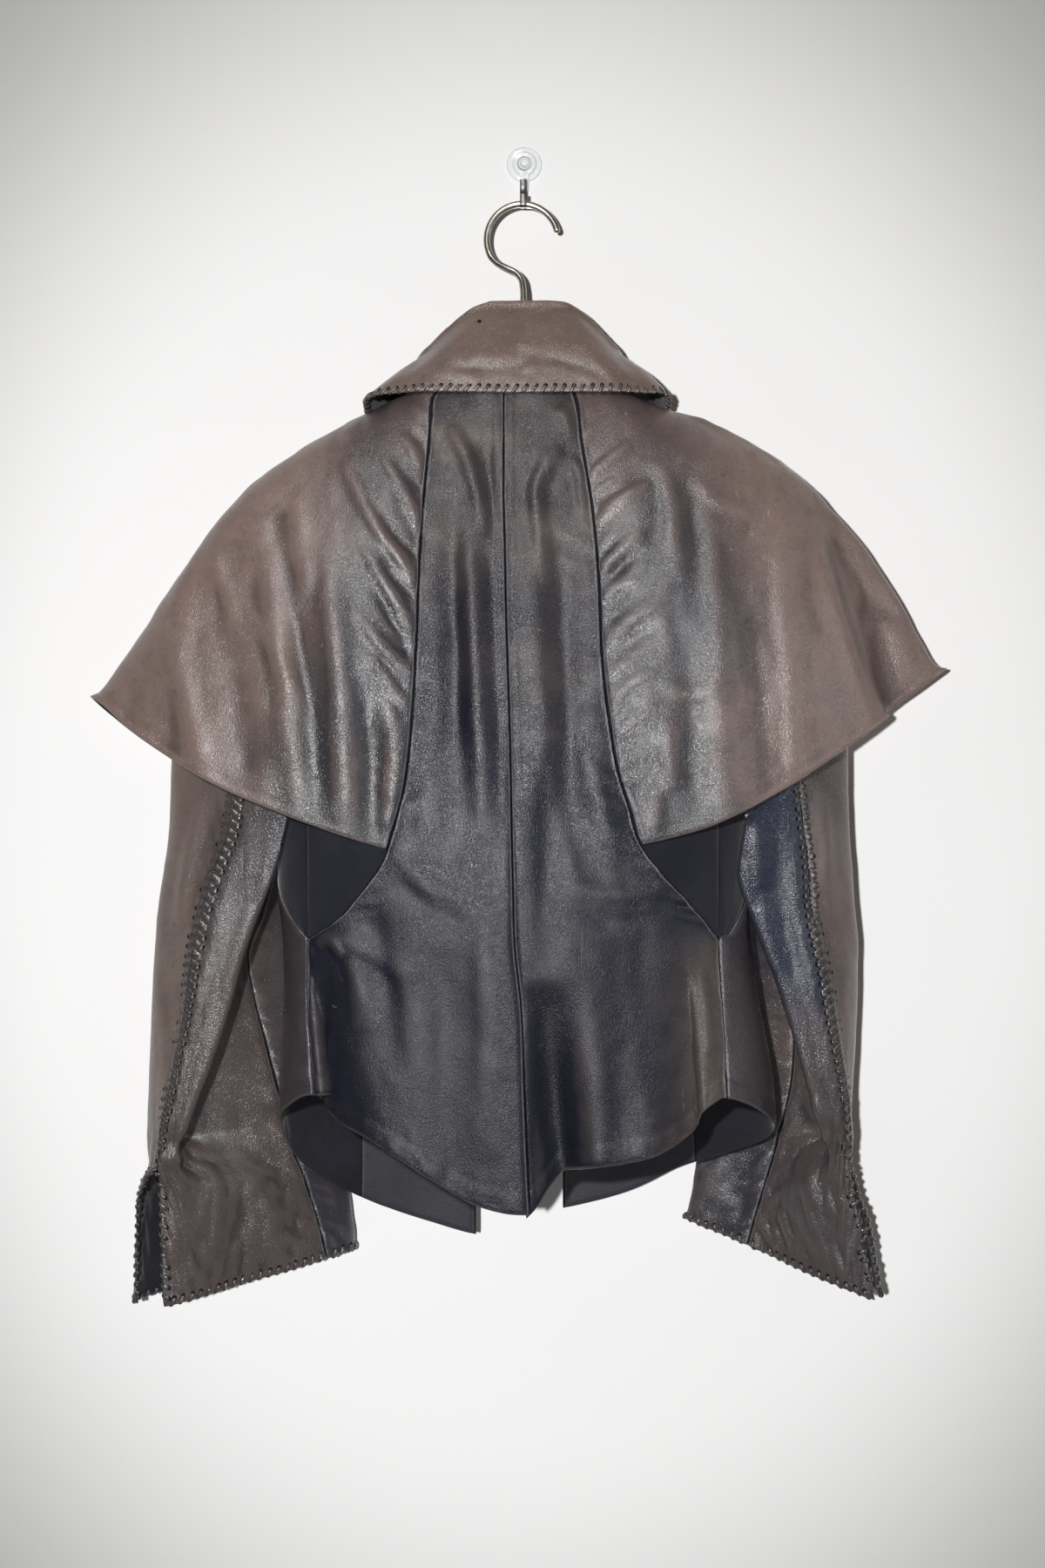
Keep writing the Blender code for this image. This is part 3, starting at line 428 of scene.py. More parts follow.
def add_leather(name, grid, sign, height, materials):
    """A leather piece: the form raised by its heights, with a wall and a rolled rim.

    Its outside and rim take the first material and its inside the second. Its attributes
    are the distances to its nearest long edge and its free edge and how hollow the form
    is there, in millimetres.
    """
    inner = grid + outward(grid, sign) * height[..., None]
    normals = outward(inner, sign)
    outer = inner + normals * WALL
    rows, columns = grid.shape[:2]
    count = rows * columns
    rim = np.concatenate([
        np.arange(columns), columns * np.arange(1, rows) + columns - 1,
        columns * (rows - 1) + np.arange(columns - 2, -1, -1), columns * np.arange(rows - 2, 0, -1),
    ])
    outwards = np.zeros_like(grid)
    outwards[0] += unit(grid[0] - grid[3])
    outwards[-1] += unit(grid[-1] - grid[-4])
    outwards[:, 0] += unit(grid[:, 0] - grid[:, 3])
    outwards[:, -1] += unit(grid[:, -1] - grid[:, -4])
    middle = (outer.reshape(-1, 3)[rim] + inner.reshape(-1, 3)[rim]) / 2
    middle += unit(outwards.reshape(-1, 3)[rim]) * WALL * 0.3
    ring = 2 * count + np.arange(len(rim))
    onward = np.roll(rim, -1)
    edges = np.concatenate([
        np.stack([rim, onward, np.roll(ring, -1), ring], axis=-1),
        np.stack([ring, np.roll(ring, -1), count + onward, count + rim], axis=-1),
    ])
    if sign < 0:
        edges = edges[:, ::-1]
    outside = grid_faces(rows, columns, sign < 0)
    inside = grid_faces(rows, columns, sign > 0, count)
    faces = np.concatenate([outside, edges, inside])
    across, onward_away, along, hem_away = margins(grid)
    order = np.concatenate([np.arange(count), np.arange(count), rim])
    numbers = {
        "seam": np.minimum(across, onward_away),
        "hem": hem_away,
        "hollow": hollowness(outer, normals),
    }
    attributes = {title: values.ravel()[order] for title, values in numbers.items()}
    cut = np.stack([across, along], axis=-1).reshape(-1, 2)[order]
    points = np.concatenate([outer.reshape(-1, 3), inner.reshape(-1, 3), middle])
    piece = add_mesh(name, points, faces, materials[0], attributes, cut)
    piece.data.materials.append(materials[1])
    lining = np.zeros(len(faces), np.int32)
    lining[-len(inside):] = 1
    piece.data.polygons.foreach_set("material_index", lining)
    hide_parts(name)
    return outer


def hollowness(grid, normals, reach=3):
    """How far each point lies under the mean of its neighbours, from -1 on ridges to 1."""
    padded = np.pad(grid, ((reach, reach), (reach, reach), (0, 0)), mode="edge")
    rows, columns = grid.shape[:2]
    steps = ((0, reach), (2 * reach, reach), (reach, 0), (reach, 2 * reach))
    around = sum(padded[row:row + rows, column:column + columns] for row, column in steps) / 4
    bend = ((around - grid) * normals).sum(axis=-1) / 0.8
    bend[[0, 1, -2, -1]] = 0
    bend[:, [0, 1, -2, -1]] = 0
    return np.clip(bend, -1, 1)


class Amount:
    """A number that varies over a surface; arithmetic on it adds Math nodes."""

    def __init__(self, finish, socket):
        self.finish, self.socket = finish, socket

    def maths(self, operation, *others):
        values = {i: value for i, value in enumerate((self, *others))}
        return self.finish.add("ShaderNodeMath", {"operation": operation}, values).out()

    def __add__(self, other):
        return self.maths("ADD", other)

    def __mul__(self, other):
        return self.maths("MULTIPLY", other)

    def __sub__(self, other):
        return self.maths("SUBTRACT", other)

    def __rsub__(self, other):
        return self * -1.0 + other

    __radd__ = __add__
    __rmul__ = __mul__

    def ramp(self, low, high):
        """Eased from 0 at low to 1 at high; low may be above high."""
        shaded_ends = {"From Min": min(low, high), "From Max": max(low, high)}
        settings = {"interpolation_type": "SMOOTHSTEP"}
        node = self.finish.add("ShaderNodeMapRange", settings, {"Value": self, **shaded_ends})
        return node.out() if low < high else 1.0 - node.out()

    def most(self, other):
        return self.maths("MAXIMUM", other)

    def size(self):
        return self.maths("ABSOLUTE")


class Node:
    """A shader node, whose outputs are read by name."""

    def __init__(self, finish, node):
        self.finish, self.node = finish, node

    def out(self, name=0):
        return Amount(self.finish, self.node.outputs[name])


class Finish:
    """A material under construction, around one Principled shader."""

    def __init__(self, name, **constants):
        self.material = bpy.data.materials.new(name)
        self.material.use_nodes = True
        self.tree = self.material.node_tree
        self.shader = self.tree.nodes["Principled BSDF"]
        for socket, value in constants.items():
            self.shader.inputs[socket.replace("_", " ")].default_value = value
        self.place = self.add("ShaderNodeTexCoord").out("Object")

    def add(self, kind, settings=None, values=None):
        """Any node: its settings first, then a value or a link for each socket."""
        node = self.tree.nodes.new(kind)
        for name, value in (settings or {}).items():
            setattr(node, name, value)
        for name, value in (values or {}).items():
            self.set(node.inputs[name], value)
        return Node(self, node)

    def set(self, socket, value):
        """Links an amount to a socket, or sets a number or colour there."""
        if isinstance(value, Amount):
            self.tree.links.new(value.socket, socket)
        elif isinstance(value, tuple) and len(value) == 3 and socket.type == "RGBA":
            socket.default_value = (*value, 1.0)
        else:
            socket.default_value = value

    def feed(self, name, value):
        """Sets or links a socket of the shader itself."""
        self.set(self.shader.inputs[name], value)

    def noise(self, scale, detail=3.0, roughness=0.55, warp=0.0, place=None, stretch=None):
        """Noise from 0 to 1 with features of about 1/scale metres, along stretched axes."""
        vector = place or self.place
        if stretch:
            vector = self.add("ShaderNodeMapping", None, {"Vector": vector, "Scale": stretch}).out()
        sockets = {
            "Vector": vector, "Scale": scale, "Detail": detail, "Roughness": roughness,
            "Distortion": warp,
        }
        return self.add("ShaderNodeTexNoise", None, sockets).out(0)

    def cells(self, scale, place=None):
        """Distance to the cracks between the cells round scattered points."""
        settings = {"feature": "DISTANCE_TO_EDGE"}
        sockets = {"Vector": place or self.place, "Scale": scale}
        return self.add("ShaderNodeTexVoronoi", settings, sockets).out("Distance")

    def shifted(self, amount):
        """The object's coordinates moved by an amount along all three axes."""
        values = {0: self.place, 1: amount}
        return self.add("ShaderNodeVectorMath", {"operation": "ADD"}, values).out()

    def axis(self, name):
        """One of the object's coordinates, in metres."""
        return self.add("ShaderNodeSeparateXYZ", None, {"Vector": self.place}).out(name)

    def attribute(self, name):
        """A number stored with the mesh's points."""
        return self.add("ShaderNodeAttribute", {"attribute_name": name}).out("Fac")

    def mix(self, factor, first, second):
        """Two colours mixed by an amount."""
        node = self.add("ShaderNodeMix", {"data_type": "RGBA"})
        for index, value in ((0, factor), (6, first), (7, second)):
            self.set(node.node.inputs[index], value)
        return Amount(self, node.node.outputs[2])

    def bump(self, height, strength=1.0):
        """Normals bent by a height in metres."""
        sockets = {"Height": height, "Distance": 1.0, "Strength": strength}
        return self.add("ShaderNodeBump", None, sockets).out("Normal")


def paler(colour, times, plus=0.0):
    """A colour's parts multiplied and raised, to 1 at most; times under 1 darkens it."""
    return tuple(min(1.0, times * part + plus) for part in colour)


# Painted highlight: the pale grey of the thin line drawn beside each seam edge.
SEAM_HIGHLIGHT_GREY = (0.15, 0.15, 0.17)


def leather(name, dark, warm, browned, gloss=0.28, shine=0.5, wear_and_highlight=1.0, crumple=1.0, dull=0.0):
    """Glazed lambskin, worn: a dark and a warm tone mixed by a browned amount, mottled, a
    little rubbed on ridges and at the hem, with a painted highlight beside the seam edges
    and painted shade in the hollows, dirty in seams, finely scratched, over a pebbled grain
    that comes and goes in patches and fine random creases.  Gloss is its roughness, shine
    how strongly it reflects and crumple how deep the creases are; dull says how much
    rougher it gets down to the hem, and the wear amount how strong the rubbing, the
    scratches and the painted seam highlight are."""
    skin = Finish(name, Specular_IOR_Level=shine)
    clouds = skin.noise(11, 3)
    patches = skin.noise(42, 4, 0.6, 0.3)
    flecks = skin.noise(230, 3, 0.6)
    amount = browned(skin) + (clouds - 0.5) * 0.8 + (patches - 0.5) * 0.35
    tone = skin.mix(amount.ramp(0.1, 0.9), dark, warm)
    tone = skin.mix(patches.ramp(0.40, 0.75) * 0.25, tone, paler(dark, 0.7))
    tone = skin.mix(flecks.ramp(0.50, 0.75) * 0.25, tone, paler(dark, 0.5))
    hollow, seam, hem = skin.attribute("hollow"), skin.attribute("seam"), skin.attribute("hem")
    ridge = (hollow * -1.0).ramp(0.1, 1.0)
    tone = skin.mix(ridge * (patches * 0.30) * wear_and_highlight, tone, paler(warm, 1.5, 0.01))
    # Painted shade: darker where the form is hollow, for the shade that falls in creases and recesses.
    tone = skin.mix(hollow.ramp(0.1, 1.0) * 0.4, tone, paler(dark, 0.4))
    near_seam = seam.ramp(2.0, 1.3) * seam.ramp(0.5, 0.9)
    near_hem = hem.ramp(2.2, 0.8)
    tone = skin.mix(near_hem * 0.45 * flecks * wear_and_highlight, tone, paler(warm, 1.8, 0.03))
    # Painted highlight: a thin pale grey line beside each seam edge, in flecks, scaled by the wear amount.
    tone = skin.mix(near_seam * flecks * wear_and_highlight, tone, SEAM_HIGHLIGHT_GREY)
    tone = skin.mix(seam.ramp(0.8, 0.3) * 0.85, tone, paler(dark, 0.2))
    upright = skin.noise(24, 2, 0.5, 0.6, stretch=(7.0, 7.0, 0.8)).ramp(0.71, 0.75)
    slanted = skin.noise(22, 2, 0.5, 0.9, stretch=(1.0, 5.0, 8.0)).ramp(0.73, 0.76)
    scratches = upright.most(slanted) * flecks.ramp(0.35, 0.60)
    tone = skin.mix(scratches * 0.25 * wear_and_highlight, tone, paler(warm, 2.0, 0.04))
    skin.feed("Base Color", tone)
    low = skin.axis("Z").ramp(-0.44, -0.62)
    skin.feed("Roughness", gloss + low * dull + (patches - 0.5) * 0.24 + flecks * 0.05 + scratches * 0.1)
    pebbled = 0.4 + patches.ramp(0.62, 0.42) * 0.6
    grain = skin.cells(820).ramp(0.0, 0.32) * pebbled
    wrinkles = skin.noise(800, 2, 0.6, 0.6)
    crumpled = skin.noise(9, 2).ramp(0.45, 0.70).most(seam.ramp(14, 3) * 0.7)
    swells = skin.noise(260, 3, 0.6, 1.3) * (0.2 + crumpled * 0.8) * crumple
    bent = skin.noise(60, 2, 0.5, 0.0) * 0.012
    cracks = skin.cells(95, skin.shifted(bent)).ramp(0.03, 0.0) * crumpled
    height = grain * 0.00008 + wrinkles * 0.00030 + swells * 0.00020 - (cracks + scratches) * 0.00006
    skin.feed("Normal", skin.bump(height))
    return skin.material


def suede(name, colour, pale):
    """Napped suede: matt and fuzzy, brushed lighter and darker in patches."""
    nap = Finish(name, Sheen_Weight=0.25, Sheen_Roughness=0.5, Specular_IOR_Level=0.2)
    brushed = nap.noise(22, 4, 0.6, 0.5)
    fuzz = nap.noise(700, 3, 0.7)
    tone = nap.mix(brushed.ramp(0.35, 0.68) * 0.7, colour, pale)
    tone = nap.mix(fuzz.ramp(0.45, 0.65) * 0.4, tone, paler(colour, 0.45))
    tone = nap.mix(nap.attribute("seam").ramp(1.6, 0.3) * 0.7, tone, paler(colour, 0.2))
    nap.feed("Base Color", tone)
    nap.feed("Roughness", 0.94 - brushed * 0.12)
    nap.feed("Normal", nap.bump(fuzz * 0.0003 + brushed * 0.0016, 0.8))
    return nap.material


BACK_ROWS = np.concatenate([
    np.linspace(0, 4, 28), np.linspace(4, 14, 112)[1:], np.linspace(14, 19, 62)[1:],
])
BACK_COLUMNS = np.concatenate([np.linspace(0, 0.7, 44), np.linspace(0.7, 1, 44)[1:]])
VENT_ROW = 15
BACK_FOLDING = 1.6
VENT_UNDERLAP = 3.0
VENT_TUCK = 9.0
VENT_GROWTH = 4.5
VENT_WIDTH = 50.0
VENT_LIP = 1.1
PLEAT_FROM, PLEAT_OVER = 585.0, 110.0
PLEAT_RISE, PLEAT_DIP = 7.5, 2.0
HEM_BAND = 13.0

BACK_CREASES = {
    "left": Table(
        CREASE_COLUMNS,
        (1.6, 7, 12, -143, 575, -113, 591, -76, 612),
        (1.2, 6, 9, -135, 582, -120, 609, -117, 650),
        (1.8, 4, 4, -147, 590, -138, 584, -128, 598),
        (-1.6, 12, 10, -112, 560, -100, 600, -92, 680),
        (1.6, 7, 9, -42, 280, -36, 390, -27, 520),
        (1.2, 10, 10, -64, 360, -66, 430, -70, 510),
        (-2.2, 12, 9, -53, 260, -50, 370, -46, 520),
        (-1.3, 8, 11, -24, 270, -20, 370, -13, 500),
        (-1.2, 12, 12, -72, 380, -66, 440, -62, 500),
        (1.2, 9, 14, -30, 560, -26, 640, -30, 740),
        (-1.2, 12, 12, -58, 590, -56, 660, -54, 760),
        (1.8, 5, 6, -56, 212, -42, 238, -28, 290),
        (1.2, 5, 5, -14, 224, -9, 242, -3, 270),
        (-1.2, 6, 6, -30, 220, -24, 260, -20, 300),
        (0.8, 6, 7, -96, 520, -70, 545, -40, 556),
        (-0.7, 6, 6, -92, 540, -66, 563, -34, 574),
    ),
    "right": Table(
        CREASE_COLUMNS,
        (1.3, 12, 10, 5, 280, 10, 390, 18, 490),
        (-1.9, 10, 12, 25, 290, 30, 390, 38, 500),
        (1.3, 11, 12, 38, 420, 52, 480, 70, 530),
        (-1.2, 10, 12, 24, 440, 36, 500, 50, 560),
        (-1.7, 9, 14, 17, 440, 16, 520, 13, 610),
        (1.0, 3, 5, 126, 600, 129, 638, 132, 690),
        (-1.6, 8, 8, 141, 560, 150, 603, 172, 690),
        (1.8, 8, 10, 154, 622, 159, 659, 162, 700),
        (-1.2, 10, 12, 84, 570, 86, 640, 90, 710),
        (1.7, 5, 6, 26, 226, 8, 264, 14, 320),
        (1.3, 6, 6, 24, 198, 30, 208, 36, 222),
        (1.0, 4, 5, 34, 232, 40, 252, 44, 290),
        (0.8, 6, 7, 24, 540, 60, 552, 100, 548),
        (-0.7, 6, 6, 30, 560, 64, 571, 104, 566),
    ),
}


def vent_right(grid, rows):
    """The right back tucks behind the left one below the top of the vent."""
    grid = grid.copy()
    below = smooth((rows - VENT_ROW + 1) / VENT_GROWTH)[:, None]
    near = np.clip(1.25 - np.abs(grid[:, :, 0] - grid[:, :1, 0]) / VENT_WIDTH, 0, 1)
    grid[:, :, 1] += VENT_TUCK * below * smooth(near)
    grid[:, :, 0] -= VENT_UNDERLAP * below * near ** 6
    return grid


def back_tone(skin):
    """Browned towards the top, in patches between the shoulder blades and at the peplum's right, with
    painted shade beside the vent.
    """
    x, z = skin.axis("X"), skin.axis("Z")
    at_side = x.ramp(0.06, 0.15) * z.ramp(-0.55, -0.60) * 0.7
    # Painted shade beside the vent, where the right back tucks in under the left.
    painted_vent_shade = x.ramp(-0.01, 0.01) * x.ramp(0.07, 0.02) * z.ramp(-0.52, -0.74)
    patches = skin.noise(15, 2).ramp(0.5, 0.7) * z.ramp(-0.50, -0.30) * 0.5
    return 0.02 + z.ramp(-0.62, -0.20) * 0.45 + patches + at_side - painted_vent_shade


inside_suede = suede("Inside suede", (0.008, 0.008, 0.013), (0.015, 0.015, 0.022))
back_leather = leather(
    "Back leather", (0.0085, 0.009, 0.0165), (0.078, 0.061, 0.054), back_tone,
    gloss=0.23, shine=0.34, crumple=0.9, dull=0.12)

for side, sign in SIGN.items():
    grid = stretch(side, centre_back, back_edge(side), BACK_COLUMNS, BACK_ROWS)
    if side == "right":
        grid = vent_right(grid, BACK_ROWS)
    grid = trimmed(grid, SEAM, 0.1)
    across, outer_away, along, hem_away = margins(grid)
    height = BACK_FOLDING * creases(grid, BACK_CREASES[side]) + pressed(across)
    height += 0.4 * hump(outer_away, 1.5)
    if side == "left":
        grown = smooth((-grid[..., 2] - PLEAT_FROM) / PLEAT_OVER)
        height += PLEAT_RISE * grown * hump(outer_away - 5 - 4 * grown, 4)
        height -= PLEAT_DIP * grown * hump(outer_away - 18, 4)
        height += VENT_LIP * hump(across - 1.6, 1.3) * smooth(BACK_ROWS - VENT_ROW)[:, None]
    height += puckers(along, outer_away, 14, 1.1, 15, 3 + int(sign), 0.5)
    height += puckers(along, across, 19, 0.4, 11, 5 + int(sign), 0.3)
    height += 0.6 * smooth((HEM_BAND + 1.5 - hem_away) / 2.5)
    height += puckers(across, hem_away, 8, 1.0, 17, 7 + int(sign), 0.4)
    height += 0.9 * mottle(across / 38, along / 70, 11 + int(sign))
    height += 0.25 * mottle(across / 11, along / 16, 13 + int(sign))
    add_leather(f"back_{side}", grid, sign, height, (back_leather, inside_suede))

# ------------------------------------------------------------------ underarm panels
# The panels under the arms are dark navy suede, napped and matt, cut in two pieces that
# meet at the side line and run up round the armholes to the shoulders.

SIDE_COLUMNS = np.linspace(0, 1, 30)
SIDE_ROWS = np.linspace(0, 13.9, 106)

underarm_suede = suede("Underarm suede", (0.007, 0.007, 0.014), (0.014, 0.014, 0.024))

for side, sign in SIGN.items():
    pieces = {
        "side_back": (back_edge(side), side_line(side, "back")),
        "side_front": (side_line(side, "front"), front_edge(side)),
    }
    for part, (inner, outer) in pieces.items():
        grid = trimmed(stretch(side, inner, outer, SIDE_COLUMNS, SIDE_ROWS))
        across, outer_away, along = margins(grid)[:3]
        height = 0.6 * mottle(across / 25, along / 40, 17 + int(sign))
        height -= 0.4 * hump(np.minimum(across, outer_away), 2)
        add_leather(f"{part}_{side}", grid, sign, height, (underarm_suede, inside_suede))

# ------------------------------------------------------------------ fronts and facings
# The open fronts are glazed leather outside with their suede side inwards; smoother
# leather facings line their front edges, and the hem is turned up and pressed inside.

FRONT_COLUMNS = np.linspace(0, 1, 72)
FACING_SHARE = 0.73
FACING_INSET = 1.0
FACING_GAP = 2.0

FRONT_CREASES = {
    "left": Table(
        CREASE_COLUMNS,
        (1.2, 9, 12, -70, 300, -78, 380, -96, 460),
        (-1.0, 12, 10, -100, 360, -92, 440, -84, 540),
        (1.4, 10, 10, -140, 600, -134, 680, -138, 760),
        (-1.2, 10, 10, -90, 600, -92, 690, -84, 790),
    ),
    "right": Table(
        CREASE_COLUMNS,
        (1.2, 12, 9, 66, 310, 72, 390, 90, 470),
        (-1.0, 10, 12, 96, 350, 90, 440, 80, 540),
        (1.4, 10, 10, 136, 600, 132, 670, 134, 740),
        (-1.2, 10, 10, 84, 610, 88, 690, 80, 770),
    ),
}


def front_tone(skin):
    """Browned towards the shoulders and at the sides of the peplum."""
    z = skin.axis("Z")
    at_sides = skin.axis("X").size().ramp(0.12, 0.15) * z.ramp(-0.52, -0.58) * 0.3
    return 0.2 + z.ramp(-0.40, -0.22) * 0.6 + at_sides


front_leather = leather(
    "Front leather", (0.020, 0.021, 0.032), (0.064, 0.049, 0.045), front_tone,
    gloss=0.28, shine=0.5)
facing_leather = leather(
    "Facing leather", (0.022, 0.023, 0.032), (0.036, 0.034, 0.041), lambda skin: skin.noise(9, 2),
    gloss=0.52, shine=0.3, wear_and_highlight=0.5)

for side, sign in SIGN.items():
    grid = trimmed(stretch(side, front_edge(side), centre_front(side), FRONT_COLUMNS, BACK_ROWS))
    across, _, along, hem_away = margins(grid)
    height = creases(grid, FRONT_CREASES[side]) + pressed(across)
    height += puckers(along, across, 15, 0.8, 14, 23 + int(sign), 0.5)
    height += puckers(across, hem_away, 9, 0.5, 14, 25 + int(sign), 0.4)
    height -= 0.5 * smooth((HEM_BAND - hem_away) / 1.5)
    height += 0.9 * mottle(across / 45, along / 80, 29 + int(sign))
    add_leather(f"front_{side}", grid, sign, height, (front_leather, inside_suede))

    first = round(FACING_SHARE * (len(FRONT_COLUMNS) - 1))
    facing = grid[:, first:] - outward(grid, sign)[:, first:] * FACING_GAP
    facing = trimmed(facing, last=FACING_INSET, bottom=FACING_INSET)
    height = 0.9 * mottle(across / 45, along / 80, 29 + int(sign))[:, first:]
    height += puckers(across, hem_away, 11, 0.4, 16, 33 + int(sign), 0.5)[:, first:]
    add_leather(f"facing_{side}", facing, sign, height, (facing_leather, facing_leather))

# ------------------------------------------------------------------ sleeves
# Two-piece sleeves that are sewn plainly on the inner arm and laced together down the
# outer one, with a deep lengthwise fold, a flared cuff and a slit at the end of the lacing.

# Rings of a sleeve, from its cap to its cuff.  "down" is the drop of the outer edge and
# "rise" how much higher the inner edge is.  The outer edge, laced seam, fold, valley
# behind the fold, plain seam and inner edge are places across; y_... are their depths.
RING_COLUMNS = ("down rise x_out x_lace y_lace x_fold y_fold x_valley y_valley "
                "x_seam y_seam x_inner y_inner")
SLEEVE_RINGS = {
    "left": Table(
        RING_COLUMNS,
        (345, -118, -243, -202, -95, -170, -104, -192, -85, -187, -58, -177, -38),
        (425, -60, -256, -207, -94, -170, -103, -192, -81, -186, -54, -175, -33),
        (505, 0, -261, -212, -92, -172, -101, -192, -78, -184, -50, -171, -27),
        (537, 0, -266, -223.5, -91, -182, -98, -200, -75, -187, -48, -168, -26),
        (569, 0, -270, -232.5, -91, -194, -95, -211, -72, -195, -48, -166, -24),
        (601, 0, -272, -238.5, -91, -206, -93, -224, -69, -206, -50, -164, -22),
        (633, 0, -273, -243, -91, -214, -92, -231, -67, -201, -46, -161, -21),
        (665, 0, -274, -249.5, -91, -223.5, -92, -236, -65, -193, -43, -157, -20),
        (697, 0, -275.5, -256, -91, -236, -92, -246, -64, -185, -41, -152, -18),
        (729, 0, -277, -262.5, -91, -248, -91, -254, -66, -177, -38, -147, -16),
        (748, 0, -276, -265, -90, -252, -88, -248, -72, -173, -37, -142, -15),
        (768, 6, -280, -264.5, -88, -244, -83, -222, -68, -167, -36, -138, -14),
        (800, 10, -284, -264, -86, -240, -80, -212, -64, -158, -33, -133, -13),
        (858, 33, -288, -262.5, -85, -236, -76, -205, -58, -148, -30, -129, -12),
    ),
    "right": Table(
        RING_COLUMNS,
        (345, -118, 228, 190, -95, 157, -104, 180, -85, 178, -58, 171, -38),
        (425, -60, 236, 196, -94, 160, -103, 180, -81, 177, -54, 171, -33),
        (505, 0, 238.5, 201.5, -92, 160, -99, 177, -76, 178, -50, 173, -29),
        (537, 0, 241, 205.5, -91, 155.5, -95, 173, -72, 177, -47, 172, -27),
        (569, 0, 243, 208, -91, 165.5, -93, 179, -70, 180, -47, 169, -25),
        (601, 0, 245, 214.5, -91, 178, -92, 191, -68, 186, -47, 162, -23),
        (633, 0, 244.5, 220.5, -91, 188.5, -91, 202, -66, 195, -48, 156, -21),
        (665, 0, 242.5, 226.5, -90, 198.5, -91, 211, -65, 201, -47, 151, -20),
        (697, 0, 240, 232, -88, 208, -90, 219, -64, 199, -44, 147, -18),
        (729, 0, 238.5, 235, -84, 219, -87, 227, -64, 192, -41, 141, -16),
        (745, 0, 237.5, 235.5, -81, 222, -82, 220, -68, 188, -40, 135, -15),
        (768, -4, 243, 239, -80, 224, -77, 205, -64, 181, -38, 130, -14),
        (800, 2, 253, 246.5, -79, 226, -74, 203, -60, 173, -35, 125, -13),
        (852, 50, 264, 256, -78, 228, -70, 200, -55, 168, -33, 122, -12),
    ),
}

# Stations round a ring: 0 outer edge, 1 laced seam, 2 near side, 3 fold, 4 valley, 5 plain
# seam, 6 inner edge, 7 to 9 the side towards the wall.

# A walk round the armhole, station by station: down its back edge, under, up its front.
ARMHOLE_WALK = Table(
    "station down lift",
    (0, 255, 3.4), (1, 350, 4.1), (2, 394, 4.0), (3, 426, 3.8), (4, 441, 3.8), (4.6, 444, 3.8),
    (5, 438, 3.8), (6, 415, 3.6), (7, 380, 3.0), (8, 335, 2.6), (9, 288, 2.4), (10, 255, 2.2),
)
UNDERARM_STATION = 4.6
RING_STATIONS = 10
SLIT_DOWN = 748.0
SLIT_FADE = 30.0
SLIT_SHIFT = {"left": (23.0, 33.0), "right": (6.0, 18.0)}
SLIT_OUTER_SHIFT = 22.0
Y_OUT = -60.0
NEAR_BULGE = 2.5
WALL_SIDE_Y = -9.0
WALL_SIDE_LEAN = 18.0
WALL_SIDE_FROM, WALL_SIDE_TO = 345.0, 620.0
INNER_SHARE, MIDDLE_SHARE, OUTER_SHARE = 0.22, 0.56, 0.10
INNER_FORWARD, OUTER_BACK = 2.0, 16.0


def armhole_edge(side, stations):
    """The sleeve's top edge at station numbers, just outside the edge of the armhole."""
    stations = np.asarray(stations, float)
    down = ARMHOLE_WALK.read("down", stations)
    back, front = ARMHOLE.read("back", down), ARMHOLE.read("front", down)
    turn = np.where(stations < UNDERARM_STATION, back, front)
    return body(side, turn, down, ARMHOLE_WALK.read("lift", stations))


def sleeve_ring(side, row, slit_gape):
    """The stations of one ring; slit_gape draws the laced seam's upper-sleeve edge back."""
    table = SLEEVE_RINGS[side]
    get = dict(zip(table.columns, table.rows[row]))
    out = SIGN[side]
    width = abs(get["x_out"] - get["x_inner"])
    gape = slit_gape * np.clip((get["down"] - SLIT_DOWN) / SLIT_FADE, 0, 1)
    x_lace = get["x_lace"] + out * gape * SLIT_SHIFT[side][0]
    y_lace = get["y_lace"] + gape * SLIT_SHIFT[side][1]
    raised = np.clip((WALL_SIDE_TO - get["down"]) / (WALL_SIDE_TO - WALL_SIDE_FROM), 0, 1)
    front_y = WALL_SIDE_Y - WALL_SIDE_LEAN * raised
    x_near = (get["x_lace"] + get["x_fold"]) / 2
    y_near = (get["y_lace"] + get["y_fold"]) / 2 - NEAR_BULGE
    places = (
        (get["x_out"], Y_OUT + gape * SLIT_OUTER_SHIFT),
        (x_lace, y_lace),
        (x_near, y_near),
        (get["x_fold"], get["y_fold"]),
        (get["x_valley"], get["y_valley"]),
        (get["x_seam"], get["y_seam"]),
        (get["x_inner"], get["y_inner"]),
        (get["x_inner"] + out * INNER_SHARE * width, front_y + INNER_FORWARD),
        (get["x_inner"] + out * MIDDLE_SHARE * width, front_y),
        (get["x_out"] - out * OUTER_SHARE * width, front_y - OUTER_BACK),
    )
    ring = [(x, y, -get["down"] + get["rise"] * abs(x - get["x_out"]) / width) for x, y in places]
    return np.array(ring)


def sleeve_net(side, slit_gape):
    """All rings of a sleeve: the armhole's and the table's."""
    count = len(SLEEVE_RINGS[side].rows)
    rings = [sleeve_ring(side, row, slit_gape) for row in range(count)]
    return np.array([armhole_edge(side, range(RING_STATIONS))] + rings)


def on_net(net, rows, stations):
    """Grid of points on a closed sleeve net at given row numbers and station numbers."""
    count = net.shape[1]
    around = np.concatenate([net[:, -3:], net, net[:, :3]], axis=1)
    knots = np.arange(-3, count + 3, dtype=float)
    stations = np.asarray(stations, float)
    stations = np.where(stations > count + 2, stations - count, stations)
    across = np.swapaxes(through(knots, np.swapaxes(around, 0, 1), stations), 0, 1)
    return through(np.arange(len(net), dtype=float), across, np.asarray(rows, float))


SLEEVE_PLACES = np.concatenate([np.linspace(0, 2, 30), np.linspace(2, 14, 170)[1:]])
UNDER_STATIONS = np.linspace(1, 5, 76)
UPPER_STATIONS = np.linspace(5, 11, 96)
LACED_GAP = 0.5
TUCKED_SEAM = 0.7
BELL_DOWN = 700.0

